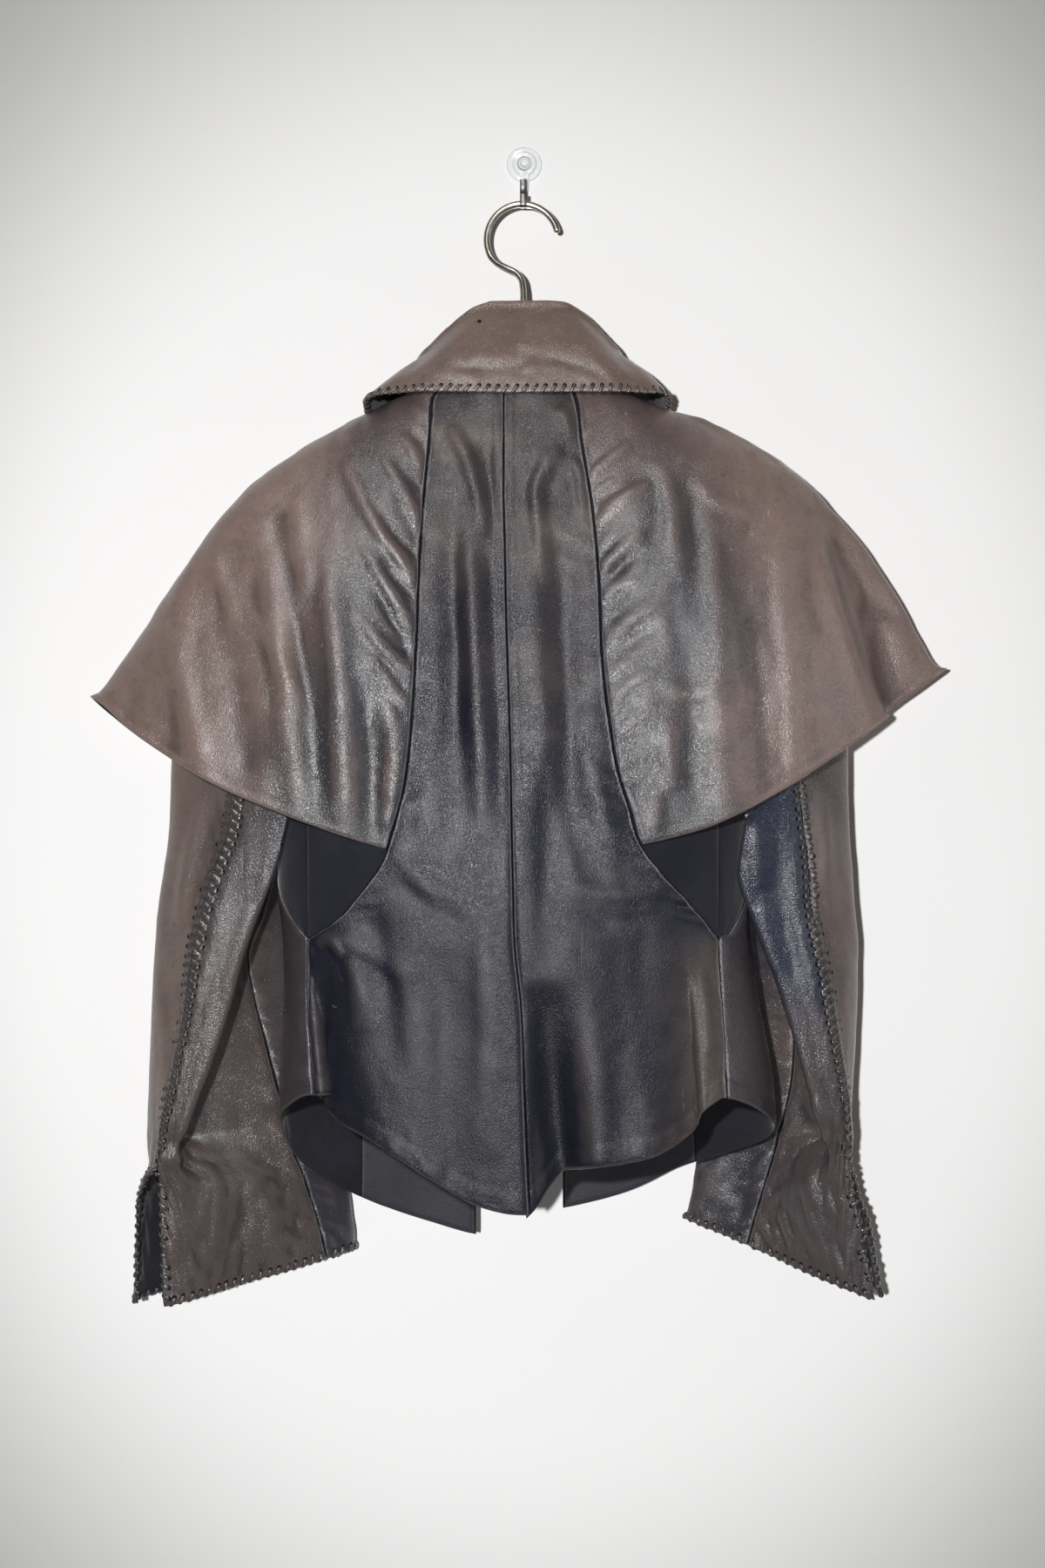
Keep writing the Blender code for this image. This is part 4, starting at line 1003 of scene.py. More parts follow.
SLEEVE_CREASES = {
    "left": Table(
        CREASE_COLUMNS,
        (2.4, 4, 5, -233, 478, -245, 530, -252, 575),
        (1.4, 7, 8, -252, 560, -244, 590, -244, 640),
        (-1.4, 8, 8, -256, 470, -262, 560, -262, 640),
        (1.6, 8, 6, -214, 560, -226, 610, -238, 660),
        (1.4, 8, 8, -196, 560, -204, 600, -212, 640),
        (2.2, 6, 6, -250, 740, -256, 744, -264, 742),
        (-1.8, 7, 7, -236, 738, -252, 733, -268, 732),
        (1.2, 6, 7, -196, 770, -190, 800, -186, 840),
        (1.3, 7, 6, -232, 775, -228, 810, -226, 850),
        (-1.2, 7, 7, -214, 765, -208, 800, -206, 850),
        (1.2, 6, 7, -176, 730, -168, 770, -158, 820),
    ),
    "right": Table(
        CREASE_COLUMNS,
        (2.0, 6, 9, 168, 492, 167, 520, 170, 550),
        (1.4, 7, 7, 170, 560, 174, 580, 178, 610),
        (-1.4, 8, 8, 184, 500, 188, 560, 196, 620),
        (3.2, 7, 8, 213, 470, 217, 520, 221, 580),
        (1.2, 8, 8, 200, 560, 208, 620, 216, 690),
        (2.4, 6, 6, 184, 738, 206, 732, 226, 728),
        (1.8, 6, 6, 208, 700, 216, 712, 226, 724),
        (-1.8, 7, 7, 190, 748, 208, 744, 230, 740),
        (1.2, 6, 7, 176, 770, 172, 800, 160, 840),
        (1.3, 7, 6, 214, 760, 218, 800, 222, 850),
        (-1.2, 7, 7, 198, 765, 196, 800, 192, 850),
    ),
}


def upper_tone(skin):
    """Browned along the outer arm, darker at the cuff."""
    x, z = skin.axis("X"), skin.axis("Z")
    outwards = x.size().ramp(0.15, 0.20) * 0.3 + x.size().ramp(0.20, 0.27) * 0.35
    return 0.2 + outwards - z.ramp(-0.66, -0.76) * 0.3


def under_tone(skin):
    """Slate, browned near the plain seam of the cuff and along the lacing."""
    x, z = skin.axis("X"), skin.axis("Z")
    return 0.12 + z.ramp(-0.56, -0.72) * 0.65 + x.ramp(-0.10, -0.22) * 0.5


upper_leather = leather(
    "Upper sleeve leather", (0.030, 0.029, 0.036), (0.138, 0.104, 0.091), upper_tone,
    gloss=0.22, shine=0.7, crumple=1.8)
under_leather = leather(
    "Under sleeve leather", (0.014, 0.017, 0.034), (0.068, 0.054, 0.051), under_tone,
    gloss=0.22, shine=0.6, crumple=1.8)
SLEEVE_GRIDS = {}

for side, sign in SIGN.items():
    parts = {
        "upper": (1.0, UPPER_STATIONS, TUCKED_SEAM, LACED_GAP, upper_leather, "sleeve_leather"),
        "under": (0.0, UNDER_STATIONS, LACED_GAP, TUCKED_SEAM, under_leather, "under_sleeve_leather"),
    }
    for part, (gape, stations, first, last, material, slot) in parts.items():
        turned = np.where(stations > RING_STATIONS, stations - RING_STATIONS, stations)
        grid = on_net(sleeve_net(side, gape), SLEEVE_PLACES, turned)
        at_top = np.clip(1 - SLEEVE_PLACES / 0.5, 0, 1)[:, None, None]
        grid = trimmed(grid + (armhole_edge(side, turned) - grid[0]) * at_top, first, last)
        across, onward_away, along, hem_away = margins(grid)
        laced_away, plain_away = (onward_away, across) if part == "upper" else (across, onward_away)
        bell = smooth((-grid[..., 2] - BELL_DOWN) / 60)
        height = creases(grid, SLEEVE_CREASES[side]) + pressed(plain_away, 0.7)
        height += puckers(along, plain_away, 6.5, 1.3, 10, 41 + int(sign), 0.3)
        height += puckers(along, laced_away, 7, 0.5, 9, 45 + int(sign), 0.2)
        height += 0.7 * mottle(across / 24, along / 45, 43 + int(sign))
        height += (0.15 + 0.8 * bell) * mottle(across / 6, along / 14, 47 + int(sign))
        height += puckers(across, hem_away, 7, 0.5, 12, 49 + int(sign), 0.2)
        leathers = (material, inside_suede)
        SLEEVE_GRIDS[part, side] = add_leather(f"{part}_sleeve_{side}", grid, -sign, height, leathers)

# ------------------------------------------------------------------ capelets
# A capelet over each shoulder, let into the back and front princess seams and the neck;
# its pressed hem is free.  The seams gather it, and soft flutes fall to the hem.

# Rays of a capelet, seen from behind: where each lies a quarter, a half, three quarters
# and all of its way from the neck.  The first is the back princess seam and the rays of
# the front are the back's, turned over about the shoulder's depth.
RAY_COLUMNS = "share x1 y1 z1 x2 y2 z2 x3 y3 z3 x4 y4 z4"
CAPE_RAYS = {
    "left": Table(
        RAY_COLUMNS,
        (0.14, -86, -99, -262, -102, -112, -345, -119, -122, -425, -137, -124, -507),
        (0.26, -106, -97, -251, -141, -110, -327, -179, -115, -402, -218, -111, -475),
        (0.37, -133, -87, -233, -189, -94, -300, -240, -95, -369, -284, -88, -435),
        (0.44, -142, -75, -218, -214, -80, -274, -262, -80, -345, -308, -76, -415),
        (0.50, -144, -59, -212, -217, -60, -263, -269, -61, -336, -319, -61, -410),
    ),
    "right": Table(
        RAY_COLUMNS,
        (0.12, 63, -98, -258, 89, -112, -338, 112, -121, -420, 135, -122, -502),
        (0.23, 88, -95, -247, 124, -109, -322, 160, -113, -398, 190, -109, -474),
        (0.33, 116, -88, -233, 162, -99, -300, 203, -101, -371, 238, -95, -443),
        (0.40, 134, -76, -221, 200, -84, -281, 243, -85, -350, 265, -82, -424),
        (0.45, 140, -66, -214, 207, -68, -268, 246, -62, -345, 267, -56, -420),
        (0.51, 143, -59, -209, 213, -57, -253, 268.5, -51, -317, 314, -46, -388),
        (0.57, 141, -45, -214, 208, -38, -263, 259, -32, -335, 291, -25, -404),
    ),
}
SHOULDER_PLANE_Y = -60.0
NECK_TURNS = (0.42, 1.66)
TURNED_RAYS = 3
CAPE_FRONT_DROP = 6.0
CAPE_COLUMNS = {
    "left": (0, 0.07, 0.14, 0.20, 0.26, 0.315, 0.37, 0.435, 0.50, 0.565, 0.63, 0.69, 0.76, 0.86, 1),
    "right": (0, 0.06, 0.12, 0.175, 0.23, 0.28, 0.33, 0.37, 0.40, 0.425, 0.45, 0.48, 0.51, 0.54, 0.57,
              0.62, 0.67, 0.77, 0.88, 1),
}
CAPE_ROWS = (0, 0.05, 0.12, 0.2, 0.3, 0.42, 0.54, 0.66, 0.78, 0.89, 1)
CAPE_LIFT = WALL + 0.5
CAPE_CLEAR = WALL + 2.6
CAPE_SEAM_DOWN = {"left": 519.0, "right": 516.0}
CAPE_EDGE = 0.5
NECK_ROOM = 4.0
HIGHEST_LIFT = 12.0
GROUND_DOWN = 545.0


def below_neck(turn):
    """Drop of a capelet's neck edge, just under the body's, and more so at the front."""
    return NECK.read("down", turn) + NECK_ROOM * np.where(turn > 1, 3, 1)


def seam_ray(side, seam, shares):
    """A capelet's edge: a princess seam of the body from the neck to the capelet's hem."""
    neck = np.array(NECK.rows[0, 1])
    for _ in range(6):
        turn = seam(neck)
        neck = below_neck(turn)
    down = neck + (CAPE_SEAM_DOWN[side] - neck) * np.asarray(shares, float)
    return body(side, seam(down), down, CAPE_LIFT)


def cape_neck(side, share):
    """Where a ray leaves the neck seam."""
    turn = np.array(NECK_TURNS[0] + (NECK_TURNS[1] - NECK_TURNS[0]) * share)
    return body(side, turn, below_neck(turn), CAPE_LIFT)


def cape_net(side):
    """Stations of the capelet: rays from the back seam over the shoulder to the front."""
    quarters = (0, 0.25, 0.5, 0.75, 1)
    shares, rays = [0.0], [seam_ray(side, back_edge(side), quarters)]
    table = CAPE_RAYS[side].rows
    for row in table:
        shares.append(row[0])
        rays.append(np.vstack([cape_neck(side, row[0]), row[1:].reshape(4, 3)]))
    for row in table[TURNED_RAYS - 1::-1]:
        points = row[1:].reshape(4, 3).copy()
        points[:, 1] = 2 * SHOULDER_PLANE_Y - points[:, 1]
        points[:, 2] -= CAPE_FRONT_DROP * np.array(quarters[1:])
        shares.append(1 - row[0])
        rays.append(np.vstack([cape_neck(side, 1 - row[0]), points]))
    shares.append(1.0)
    rays.append(seam_ray(side, front_edge(side), quarters))
    return np.array(shares), np.array(quarters), np.array(rays)


def resting(grid, ground, clear):
    """The grid with its points raised, along the ground's normals, to lie clear of it."""
    normals = outward(ground, -1.0).reshape(-1, 3)
    spots = ground.reshape(-1, 3)
    inland = np.arange(len(spots)) >= ground.shape[1]
    points = grid.reshape(-1, 3).copy()
    for _ in range(3):
        nearest = ((points[:, None] - spots[None]) ** 2).sum(axis=2).argmin(axis=1)
        height = ((points - spots[nearest]) * normals[nearest]).sum(axis=1)
        lift = np.clip(clear - height, 0, HIGHEST_LIFT) * inland[nearest]
        points += lift[:, None] * normals[nearest]
    return points.reshape(grid.shape)


def shoulder_ground(side):
    """The upper body as a fine grid, with its normals outwards."""
    turn, share = np.meshgrid(np.linspace(0.2, 1.8, 61), np.linspace(0, 1, 45))
    neck = NECK.read("down", turn)
    grid = body(side, turn, neck + (GROUND_DOWN - neck) * share)
    return grid if side == "left" else grid[:, ::-1]


def cape(side, columns, rows):
    """The capelet's sheet at shares round its rays and down them, clear of the body."""
    shares, quarters, rays = cape_net(side)
    across = through(shares, rays, np.asarray(columns, float))
    sheet = through(quarters, np.swapaxes(across, 0, 1), np.asarray(rows, float))
    return resting(sheet, shoulder_ground(side), CAPE_CLEAR)


FINE_CAPE_COLUMNS = 136
FINE_CAPE_ROWS = 116
CAPE_EASING = 40
CAPE_FOLDING = 1.5
SEAM_REACH = 36
SEAM_FADE = smooth(np.linspace(1, 0, SEAM_REACH))[None, :, None]

CAPE_CREASES = {
    "left": Table(
        CREASE_COLUMNS,
        (1.4, 3, 5, -104, 236, -88, 262, -73, 288),
        (2.0, 4, 6, -132, 240, -106, 288, -73, 332),
        (1.1, 3, 4, -98, 300, -88, 316, -75, 336),
        (1.8, 3.5, 5, -117, 302, -97, 335, -75, 369),
        (0.9, 2.5, 4, -94, 352, -86, 364, -77, 376),
        (1.5, 3, 5, -122, 350, -100, 378, -78, 399),
        (1.0, 3, 4, -100, 396, -90, 410, -81, 424),
        (1.1, 3, 4, -90, 220, -82, 232, -73, 250),
        (0.8, 2.5, 3, -88, 270, -80, 282, -74, 296),
        (-1.2, 4, 5, -118, 262, -98, 292, -75, 314),
        (-1.2, 4, 5, -110, 330, -92, 360, -78, 386),
        (-1.0, 4, 4, -104, 376, -92, 398, -81, 413),
        (2.2, 8, 9, -144, 300, -133, 386, -124, 540),
        (1.6, 7, 7, -168, 262, -160, 300, -154, 350),
        (2.0, 8, 9, -192, 280, -179, 348, -158, 500),
        (-2.4, 10, 10, -168, 340, -156, 400, -142, 530),
        (-2.4, 9, 9, -112, 390, -109, 450, -108, 530),
        (1.8, 9, 9, -254, 360, -239, 422, -226, 490),
        (-1.4, 12, 12, -224, 320, -210, 390, -194, 490),
        (1.8, 6, 7, -97, 410, -93, 450, -98, 520),
        (1.0, 5, 5, -196, 350, -170, 392, -150, 440),
        (0.9, 4, 5, -232, 300, -216, 330, -204, 372),
    ),
    "right": Table(
        CREASE_COLUMNS,
        (1.3, 3, 4, 46, 254, 60, 240, 78, 228),
        (0.9, 2.5, 3, 48, 268, 56, 260, 66, 254),
        (1.4, 3, 5, 50, 288, 66, 270, 92, 258),
        (0.8, 2.5, 3, 53, 304, 61, 297, 70, 293),
        (1.3, 3, 4, 54, 322, 70, 304, 86, 292),
        (1.1, 3, 4, 56, 344, 66, 332, 82, 326),
        (1.4, 3, 5, 57, 378, 74, 358, 98, 342),
        (0.8, 2.5, 3, 60, 398, 68, 390, 76, 386),
        (1.2, 3, 4, 62, 420, 76, 402, 96, 392),
        (0.9, 3, 3, 66, 440, 76, 428, 88, 422),
        (-1.0, 4, 4, 50, 278, 68, 262, 90, 246),
        (-1.0, 4, 4, 56, 334, 72, 316, 90, 306),
        (-1.0, 4, 4, 60, 388, 78, 372, 96, 360),
        (1.3, 6, 8, 96, 236, 104, 270, 108, 330),
        (-1.1, 8, 8, 118, 240, 122, 290, 126, 360),
        (1.4, 12, 15, 134, 300, 141, 372, 146, 520),
        (1.7, 6, 10, 180, 290, 191, 403, 195, 500),
        (-1.6, 11, 11, 158, 330, 166, 400, 172, 490),
        (-1.4, 11, 11, 112, 340, 118, 410, 122, 500),
        (1.8, 6, 7, 103, 430, 103, 455, 101, 480),
        (1.6, 5, 5, 92, 470, 93, 490, 94, 512),
        (-3.0, 6, 9, 222, 290, 235, 342, 262, 415),
        (1.6, 8, 7, 214, 300, 226, 350, 250, 420),
        (2.0, 9, 9, 270, 350, 280, 380, 292, 410),
        (1.0, 5, 5, 120, 250, 140, 270, 166, 280),
        (0.9, 5, 5, 96, 400, 116, 410, 140, 404),
    ),
}


def refined(grid, row_knots, column_knots, rows, columns):
    """A coarse grid read along smooth curves: the given number of rows and columns, the
    columns evenly spaced along its last row."""
    last = arcs(grid, 1)[-1]
    places = np.interp(np.linspace(0, last[-1], columns), last, column_knots)
    across = through(np.asarray(column_knots, float), np.swapaxes(grid, 0, 1), places)
    downs = np.linspace(row_knots[0], row_knots[-1], rows)
    return through(np.asarray(row_knots, float), np.swapaxes(across, 0, 1), downs)


def evened(grid, times):
    """The grid with its inner points eased, that many times, towards their neighbours."""
    grid = grid.copy()
    for _ in range(times):
        around = grid[:-2, 1:-1] + grid[2:, 1:-1] + grid[1:-1, :-2] + grid[1:-1, 2:]
        grid[1:-1, 1:-1] += 0.5 * (around / 4 - grid[1:-1, 1:-1])
    return grid


def cape_tone(skin):
    """Brown over the shoulder and outwards, slate beside the back seam."""
    x, z = skin.axis("X"), skin.axis("Z")
    lower_left = x.ramp(-0.10, -0.14) * x.ramp(-0.24, -0.19) * z.ramp(-0.36, -0.46)
    return 0.12 + x.size().ramp(0.10, 0.21) * 0.75 + z.ramp(-0.34, -0.22) * 0.35 - lower_left * 0.35


cape_leather = leather(
    "Shoulder leather", (0.026, 0.024, 0.029), (0.158, 0.112, 0.098), cape_tone,
    gloss=0.23, shine=0.6, dull=0.25)

for side, sign in SIGN.items():
    columns = np.array(CAPE_COLUMNS[side])
    coarse = cape(side, columns, CAPE_ROWS)
    grid = refined(coarse, CAPE_ROWS, columns, FINE_CAPE_ROWS, FINE_CAPE_COLUMNS)
    grid = evened(grid, CAPE_EASING)
    shares = np.linspace(0, 1, FINE_CAPE_ROWS)
    back_stray = (seam_ray(side, back_edge(side), shares) - grid[:, 0]) * (1, 0, 1)
    front_stray = (seam_ray(side, front_edge(side), shares) - grid[:, -1]) * (1, 0, 1)
    grid[:, :SEAM_REACH] += back_stray[:, None] * SEAM_FADE
    grid[:, -SEAM_REACH:] += front_stray[:, None] * SEAM_FADE[:, ::-1]
    grid = trimmed(grid, CAPE_EDGE, CAPE_EDGE)
    across, front_away, along, hem_away = margins(grid)
    seam_away = np.minimum(across, front_away)
    height = CAPE_FOLDING * creases(grid, CAPE_CREASES[side])
    height += puckers(along, seam_away, 8, 1.2, 14, 51 + int(sign), 0.5)
    height *= smooth(seam_away / 4)
    height += 0.5 * smooth((5 - hem_away) / 1.5) - 0.3 * hump(hem_away - 6, 1.5)
    height += 1.1 * mottle(across / 36, along / 70, 53 + int(sign))
    height += 0.5 * mottle(across / 13, along / 20, 55 + int(sign))
    add_leather(f"cape_{side}", grid, sign, height, (cape_leather, inside_suede))

# ------------------------------------------------------------------ collar
# A turned-down collar in one piece; its lower edge is whip-laced and it curls a little.
# Rubbed smooth and browned by wear, with a crease across the fall and a small hole.

# Strips of the collar from the centre back to its front end: the turn of the body's neck
# edge where each starts, the fold at its top and the laced edge of its fall.
STRIP_COLUMNS = "turn x_fold y_fold z_fold x_fall y_fall z_fall x_edge y_edge z_edge"
COLLAR_STRIPS = {
    "left": Table(
        STRIP_COLUMNS,
        (0.0, -4, -52, -116, -8, -72, -148, -13, -87, -189),
        (0.35, -34, -52, -118, -40, -72, -150, -52, -87, -188),
        (0.8, -68, -48, -146, -78, -66, -165, -95, -79, -188),
        (1.1, -79, -42, -158, -97, -52, -172, -117, -62, -193),
        (1.3, -80, -28, -167, -98, -28, -184, -117, -28, -205),
        (1.55, -70, -17, -180, -86, -12, -202, -106, -10, -228),
        (1.74, -58, -14, -198, -74, -9, -221, -94, -7, -248),
        (1.88, -44, -13, -222, -58, -9, -243, -72, -7, -262),
    ),
    "right": Table(
        STRIP_COLUMNS,
        (0.0, 4, -52, -116, 2, -72, -148, -8, -87, -189),
        (0.35, 32, -52, -118, 40, -72, -150, 46, -87, -188),
        (0.8, 62, -48, -143, 72, -66, -163, 88, -79, -188),
        (1.1, 72, -42, -154, 89, -52, -168, 106, -62, -189),
        (1.3, 74, -28, -163, 90, -28, -180, 107, -28, -201),
        (1.55, 64, -17, -177, 80, -12, -200, 100, -10, -226),
        (1.74, 52, -14, -196, 68, -9, -219, 88, -7, -246),
        (1.88, 38, -13, -222, 52, -9, -243, 66, -7, -262),
    ),
}
COLLAR_STATIONS = (0, 0.35, 0.44, 0.56, 0.75, 1)
COLLAR_COLUMNS = (0, 0.2, 0.35, 0.5, 0.66, 0.8, 0.95, 1.1, 1.2, 1.3, 1.42, 1.55, 1.65, 1.74, 1.81, 1.88)
COLLAR_ROWS = (0, 0.18, 0.35, 0.42, 0.5, 0.58, 0.68, 0.84, 1)
FALL_FROM = 0.68
COLLAR_INSET = 1.3
COLLAR_CLEAR = 2 * WALL + 2.5
STAND_ABOVE, STAND_FORWARD = 1.0, 2.0
STAND_FROM, STAND_OVER = 1.2, 0.3
FOLD_INSIDE, FOLD_OUTSIDE, FOLD_BELOW = 2.0, 3.0, 5.0


def collar_net(side):
    """Stations across the collar: neck edge, inside and outside of the fold, fall, edge."""
    table = COLLAR_STRIPS[side].rows
    neck = body(side, table[:, 0], NECK.read("down", table[:, 0]), -COLLAR_INSET)
    at_front = np.clip((table[:, 0] - STAND_FROM) / STAND_OVER, 0, 1)
    neck[:, 0] -= SIGN[side] * STAND_FORWARD * at_front
    neck[:, 2] += STAND_ABOVE + STAND_FORWARD * at_front
    fold, fall, edge = table[:, 1:4], table[:, 4:7], table[:, 7:10]
    inwards = unit(fold - fall) * (1, 1, 0)
    inside = fold + inwards * FOLD_INSIDE - (0, 0, FOLD_BELOW)
    outside = fold - inwards * FOLD_OUTSIDE - (0, 0, FOLD_BELOW)
    return table[:, 0], np.stack([neck, inside, fold, outside, fall, edge], axis=1)


def collar_half(side, columns, rows):
    """Half the collar at turns of the neck edge and shares of the way to its laced edge."""
    turns, net = collar_net(side)
    strips = np.swapaxes(through(turns, net, np.asarray(columns, float)), 0, 1)
    return through(np.array(COLLAR_STATIONS), strips, np.asarray(rows, float))


FINE_COLLAR_COLUMNS = 230
FINE_COLLAR_ROWS = 66

COLLAR_CREASES = Table(
    CREASE_COLUMNS,
    (-1.1, 4, 4, -64, 168, -31, 171, 5, 167),
    (-1.1, 4, 5, -1, 160, 30, 166, 64, 178),
    (1.0, 5, 6, -40, 160, -22, 164, -6, 163),
    (0.9, 4, 5, -8, 150, 1, 152, 12, 152),
    (1.0, 5, 5, -52, 178, -41, 178, -30, 179),
    (0.9, 4, 4, -14, 181, -3, 181, 8, 182),
    (0.8, 4, 4, -3, 171, 3, 171, 12, 172),
    (-0.8, 7, 7, -44, 140, -40, 152, -46, 164),
)


def collar_tone(skin):
    """Brown nearly all over, in weak patches."""
    return 0.75 + skin.noise(30, 2) * 0.3


collar_leather = leather(
    "Collar leather", (0.046, 0.037, 0.035), (0.125, 0.086, 0.072), collar_tone,
    gloss=0.23, shine=0.6)

turns = np.array(COLLAR_COLUMNS)
halves = {side: collar_half(side, turns, COLLAR_ROWS) for side in SIGN}
middle_strip = (halves["left"][:, :1] + halves["right"][:, :1]) / 2
coarse = np.concatenate([halves["left"][:, :0:-1], middle_strip, halves["right"][:, 1:]], axis=1)
fall = COLLAR_ROWS.index(FALL_FROM)
for side in SIGN:
    coarse[fall:] = resting(coarse[fall:], shoulder_ground(side), COLLAR_CLEAR)
around = np.concatenate([-turns[:0:-1], turns])
grid = trimmed(refined(coarse, COLLAR_ROWS, around, FINE_COLLAR_ROWS, FINE_COLLAR_COLUMNS))
across, _, along, edge_away = margins(grid)
fallen = smooth((along / along[-1:] - 0.5) / 0.15)
height = creases(grid, COLLAR_CREASES) * fallen + 0.5 * mottle(across / 40, along / 28, 61)
height += 0.2 * mottle(across / 10, along / 9, 63) + puckers(across, edge_away, 7, 0.4, 8, 65)
collar_grid = add_leather("collar", grid, 1.0, height, (collar_leather, inside_suede))

# ------------------------------------------------------------------ lacing
# Flat leather thongs: crossed down the outer seams of the sleeves through pairs of punched
# holes, and whipped over the slits' edges, the cuffs' hems and the collar's lower edge.

PITCH = 7.0
THONG_WIDTH = 2.6
LACED_WIDTH = 5.0
THONG_THICK = 1.3
FAR_FROM_EDGES = 20.0
THONG_SIDES = 10
THONG_TAPER = 0.55
HOLE_RADIUS = 1.7
HOLE_SIDES = 12
HOLE_IN = 4.4
HOLE_OUT = 0.12
LACED_IN = {"left": (6.6, 4.6), "right": (3.6, 5.6)}
SUNK_DOWN = {"left": -20.0, "right": 118.0}
FIRST_LACED_ROW = 1.8


class Edge:
    """A piece's edge as a curve: points, directions into the piece and outward normals."""

    def __init__(self, points, inland, normals):
        self.along = arcs(points, 0)
        self.points, self.inland, self.normals = points, inland, normals

    def at(self, along, inwards, out):
        """Points a given way along the edge, in from it and out from the surface."""
        read = [np.stack([np.interp(along, self.along, part[:, i]) for i in range(3)], axis=-1)
                for part in (self.points, self.inland, self.normals)]
        return read[0] + unit(read[1]) * inwards[..., None] + unit(read[2]) * out[..., None]

    def normal(self, along):
        """Unit normals a given way along the edge."""
        read = [np.interp(along, self.along, self.normals[:, i]) for i in range(3)]
        return unit(np.stack(read, axis=-1))


def column_edge(grid, sign, column, rows):
    """The first (0) or last (-1) column of an outer grid, over a slice of its rows."""
    step = 1 if column == 0 else -1
    inland = unit(grid[:, column + 2 * step] - grid[:, column])
    normals = outward(grid, sign)[:, column + step]
    return Edge(grid[rows, column], inland[rows], normals[rows])


def row_edge(grid, sign):
    """The last row of an outer grid."""
    return Edge(grid[-1], unit(grid[-3] - grid[-1]), outward(grid, sign)[-2])


def add_thongs(name, paths, faces_to, material, width):
    """Flat thongs swept along rows of points, their broad sides facing given directions; their ends, where
    they go into the holes, take painted shade.
    """
    count, length = paths.shape[:2]
    fine = np.linspace(0, length - 1, 3 * length - 2)
    steps = np.arange(length, dtype=float)
    paths = np.swapaxes(through(steps, np.swapaxes(paths, 0, 1), fine), 0, 1)
    faces_to = np.swapaxes(through(steps, np.swapaxes(faces_to, 0, 1), fine), 0, 1)
    length = len(fine)
    ahead = unit(np.gradient(paths, axis=1))
    aside = unit(np.cross(faces_to, ahead))
    face = np.cross(ahead, aside)
    turns = np.linspace(0, 2 * math.pi, THONG_SIDES, endpoint=False)
    taper = np.ones(length)
    taper[[0, -1]] = THONG_TAPER
    spread = aside[:, :, None] * np.cos(turns)[:, None] * width / 2
    spread = spread + face[:, :, None] * np.sin(turns)[:, None] * THONG_THICK / 2
    rings = paths[:, :, None] + spread * taper[:, None, None]
    index = np.arange(count * length * THONG_SIDES).reshape(count, length, THONG_SIDES)
    turned = np.roll(index, -1, axis=2)
    corners = (index[:, :-1], turned[:, :-1], turned[:, 1:], index[:, 1:])
    quads = np.stack(corners, axis=-1).reshape(-1, 4).tolist()
    caps = index[:, 0, ::-1].tolist() + index[:, -1].tolist()
    inner = np.full((count, length, THONG_SIDES), FAR_FROM_EDGES)
    # Painted shade: the ends read as lying at a seam, so the leather darkens them where they go into the
    # holes.
    shaded_ends = inner.copy()
    shaded_ends[:, [0, -1]] = 0.0
    attributes = {"seam": shaded_ends.ravel(), "hem": inner.ravel()}
    piece = add_mesh(name, rings.reshape(-1, 3), quads + caps, material, attributes)


def whipped(edge, first, last):
    """Whip stitches over an edge: from a hole, over the surface, round the edge and back
    behind to the hole.  Returns the stitches' points and directions and their holes."""
    count = max(1, int((last - first) / PITCH))
    starts = first + (np.arange(count)[:, None] + 0.5) * (last - first) / count
    lean = np.array((0.30, 0.28, 0.20, 0.06, -0.06, -0.12, -0.20, -0.25)) * PITCH
    inwards = np.array((1.0, 0.95, 0.6, 0.12, -0.17, 0.12, 0.6, 0.95)) * HOLE_IN
    out = np.array((-0.9, 0.35, 0.75, 0.6, -0.75, -2.1, -2.2, -2.0))
    shape = (count, len(lean))
    along = starts + lean
    paths = edge.at(along, np.broadcast_to(inwards, shape), np.broadcast_to(out, shape))
    towards = unit(np.gradient(paths, axis=1))
    on_edge = np.zeros(shape)
    ahead = edge.at(along + 0.5, on_edge, on_edge) - edge.at(along, on_edge, on_edge)
    faces_to = np.cross(towards, unit(ahead))
    faces_to *= np.sign((faces_to[:, 1:2] * edge.normal(along[:, 1:2])).sum(-1, keepdims=True))
    hole = along[:, :1] + 0.02 * PITCH
    place = edge.at(hole, np.full_like(hole, HOLE_IN + 0.3), np.full_like(hole, HOLE_OUT))
    return paths, faces_to, (place, edge.normal(hole))


def crossed(near, far, first, last, reach_in, sunk_down):
    """Crossed stitches over a seam between two edges that are read from the same drop.

    Down to sunk_down their middles are drawn in below the leather, so only ends show."""
    count = int((last - first) / PITCH)
    starts = first + (np.arange(count)[:, None] + 0.5) * (last - first) / count
    reach = reach_in[0] + (reach_in[1] - reach_in[0]) * smooth(starts / last)
    sunk = smooth((sunk_down - starts) / 12)
    paths, faces_to = [], []
    for from_edge, to_edge, arch in ((near, far, 0.9), (far, near, 1.9)):
        down = starts + np.array((0.0, 0.0, 0.2, 0.5, 0.8, 1.0, 1.0)) * PITCH
        shape = down.shape
        inwards = np.array((1.0, 0.93, 0.5, 0.0, 0.5, 0.93, 1.0)) * reach
        out = np.array((-0.9, 0.4, 0.8, arch, 0.8, 0.4, -0.9))
        out = out - sunk * np.array((0.0, -0.3, 1.2, arch + 1.6, 1.2, -0.3, 0.0))
        inwards = np.broadcast_to(inwards, shape)
        one, other = from_edge.at(down, inwards, out), to_edge.at(down, inwards, out)
        share = np.array((0.0, 0.0, 0.0, 0.5, 1.0, 1.0, 1.0))[None, :, None]
        paths.append(one * (1 - share) + other * share)
        faces_to.append(unit(from_edge.normal(down) * (1 - share) + to_edge.normal(down) * share))
    holes = [edge.at(starts, reach + 0.7, np.full_like(starts, HOLE_OUT)) for edge in (near, far)]
    normals = [edge.normal(starts) for edge in (near, far)]
    return (np.concatenate(paths), np.concatenate(faces_to),
            (np.concatenate(holes), np.concatenate(normals)))


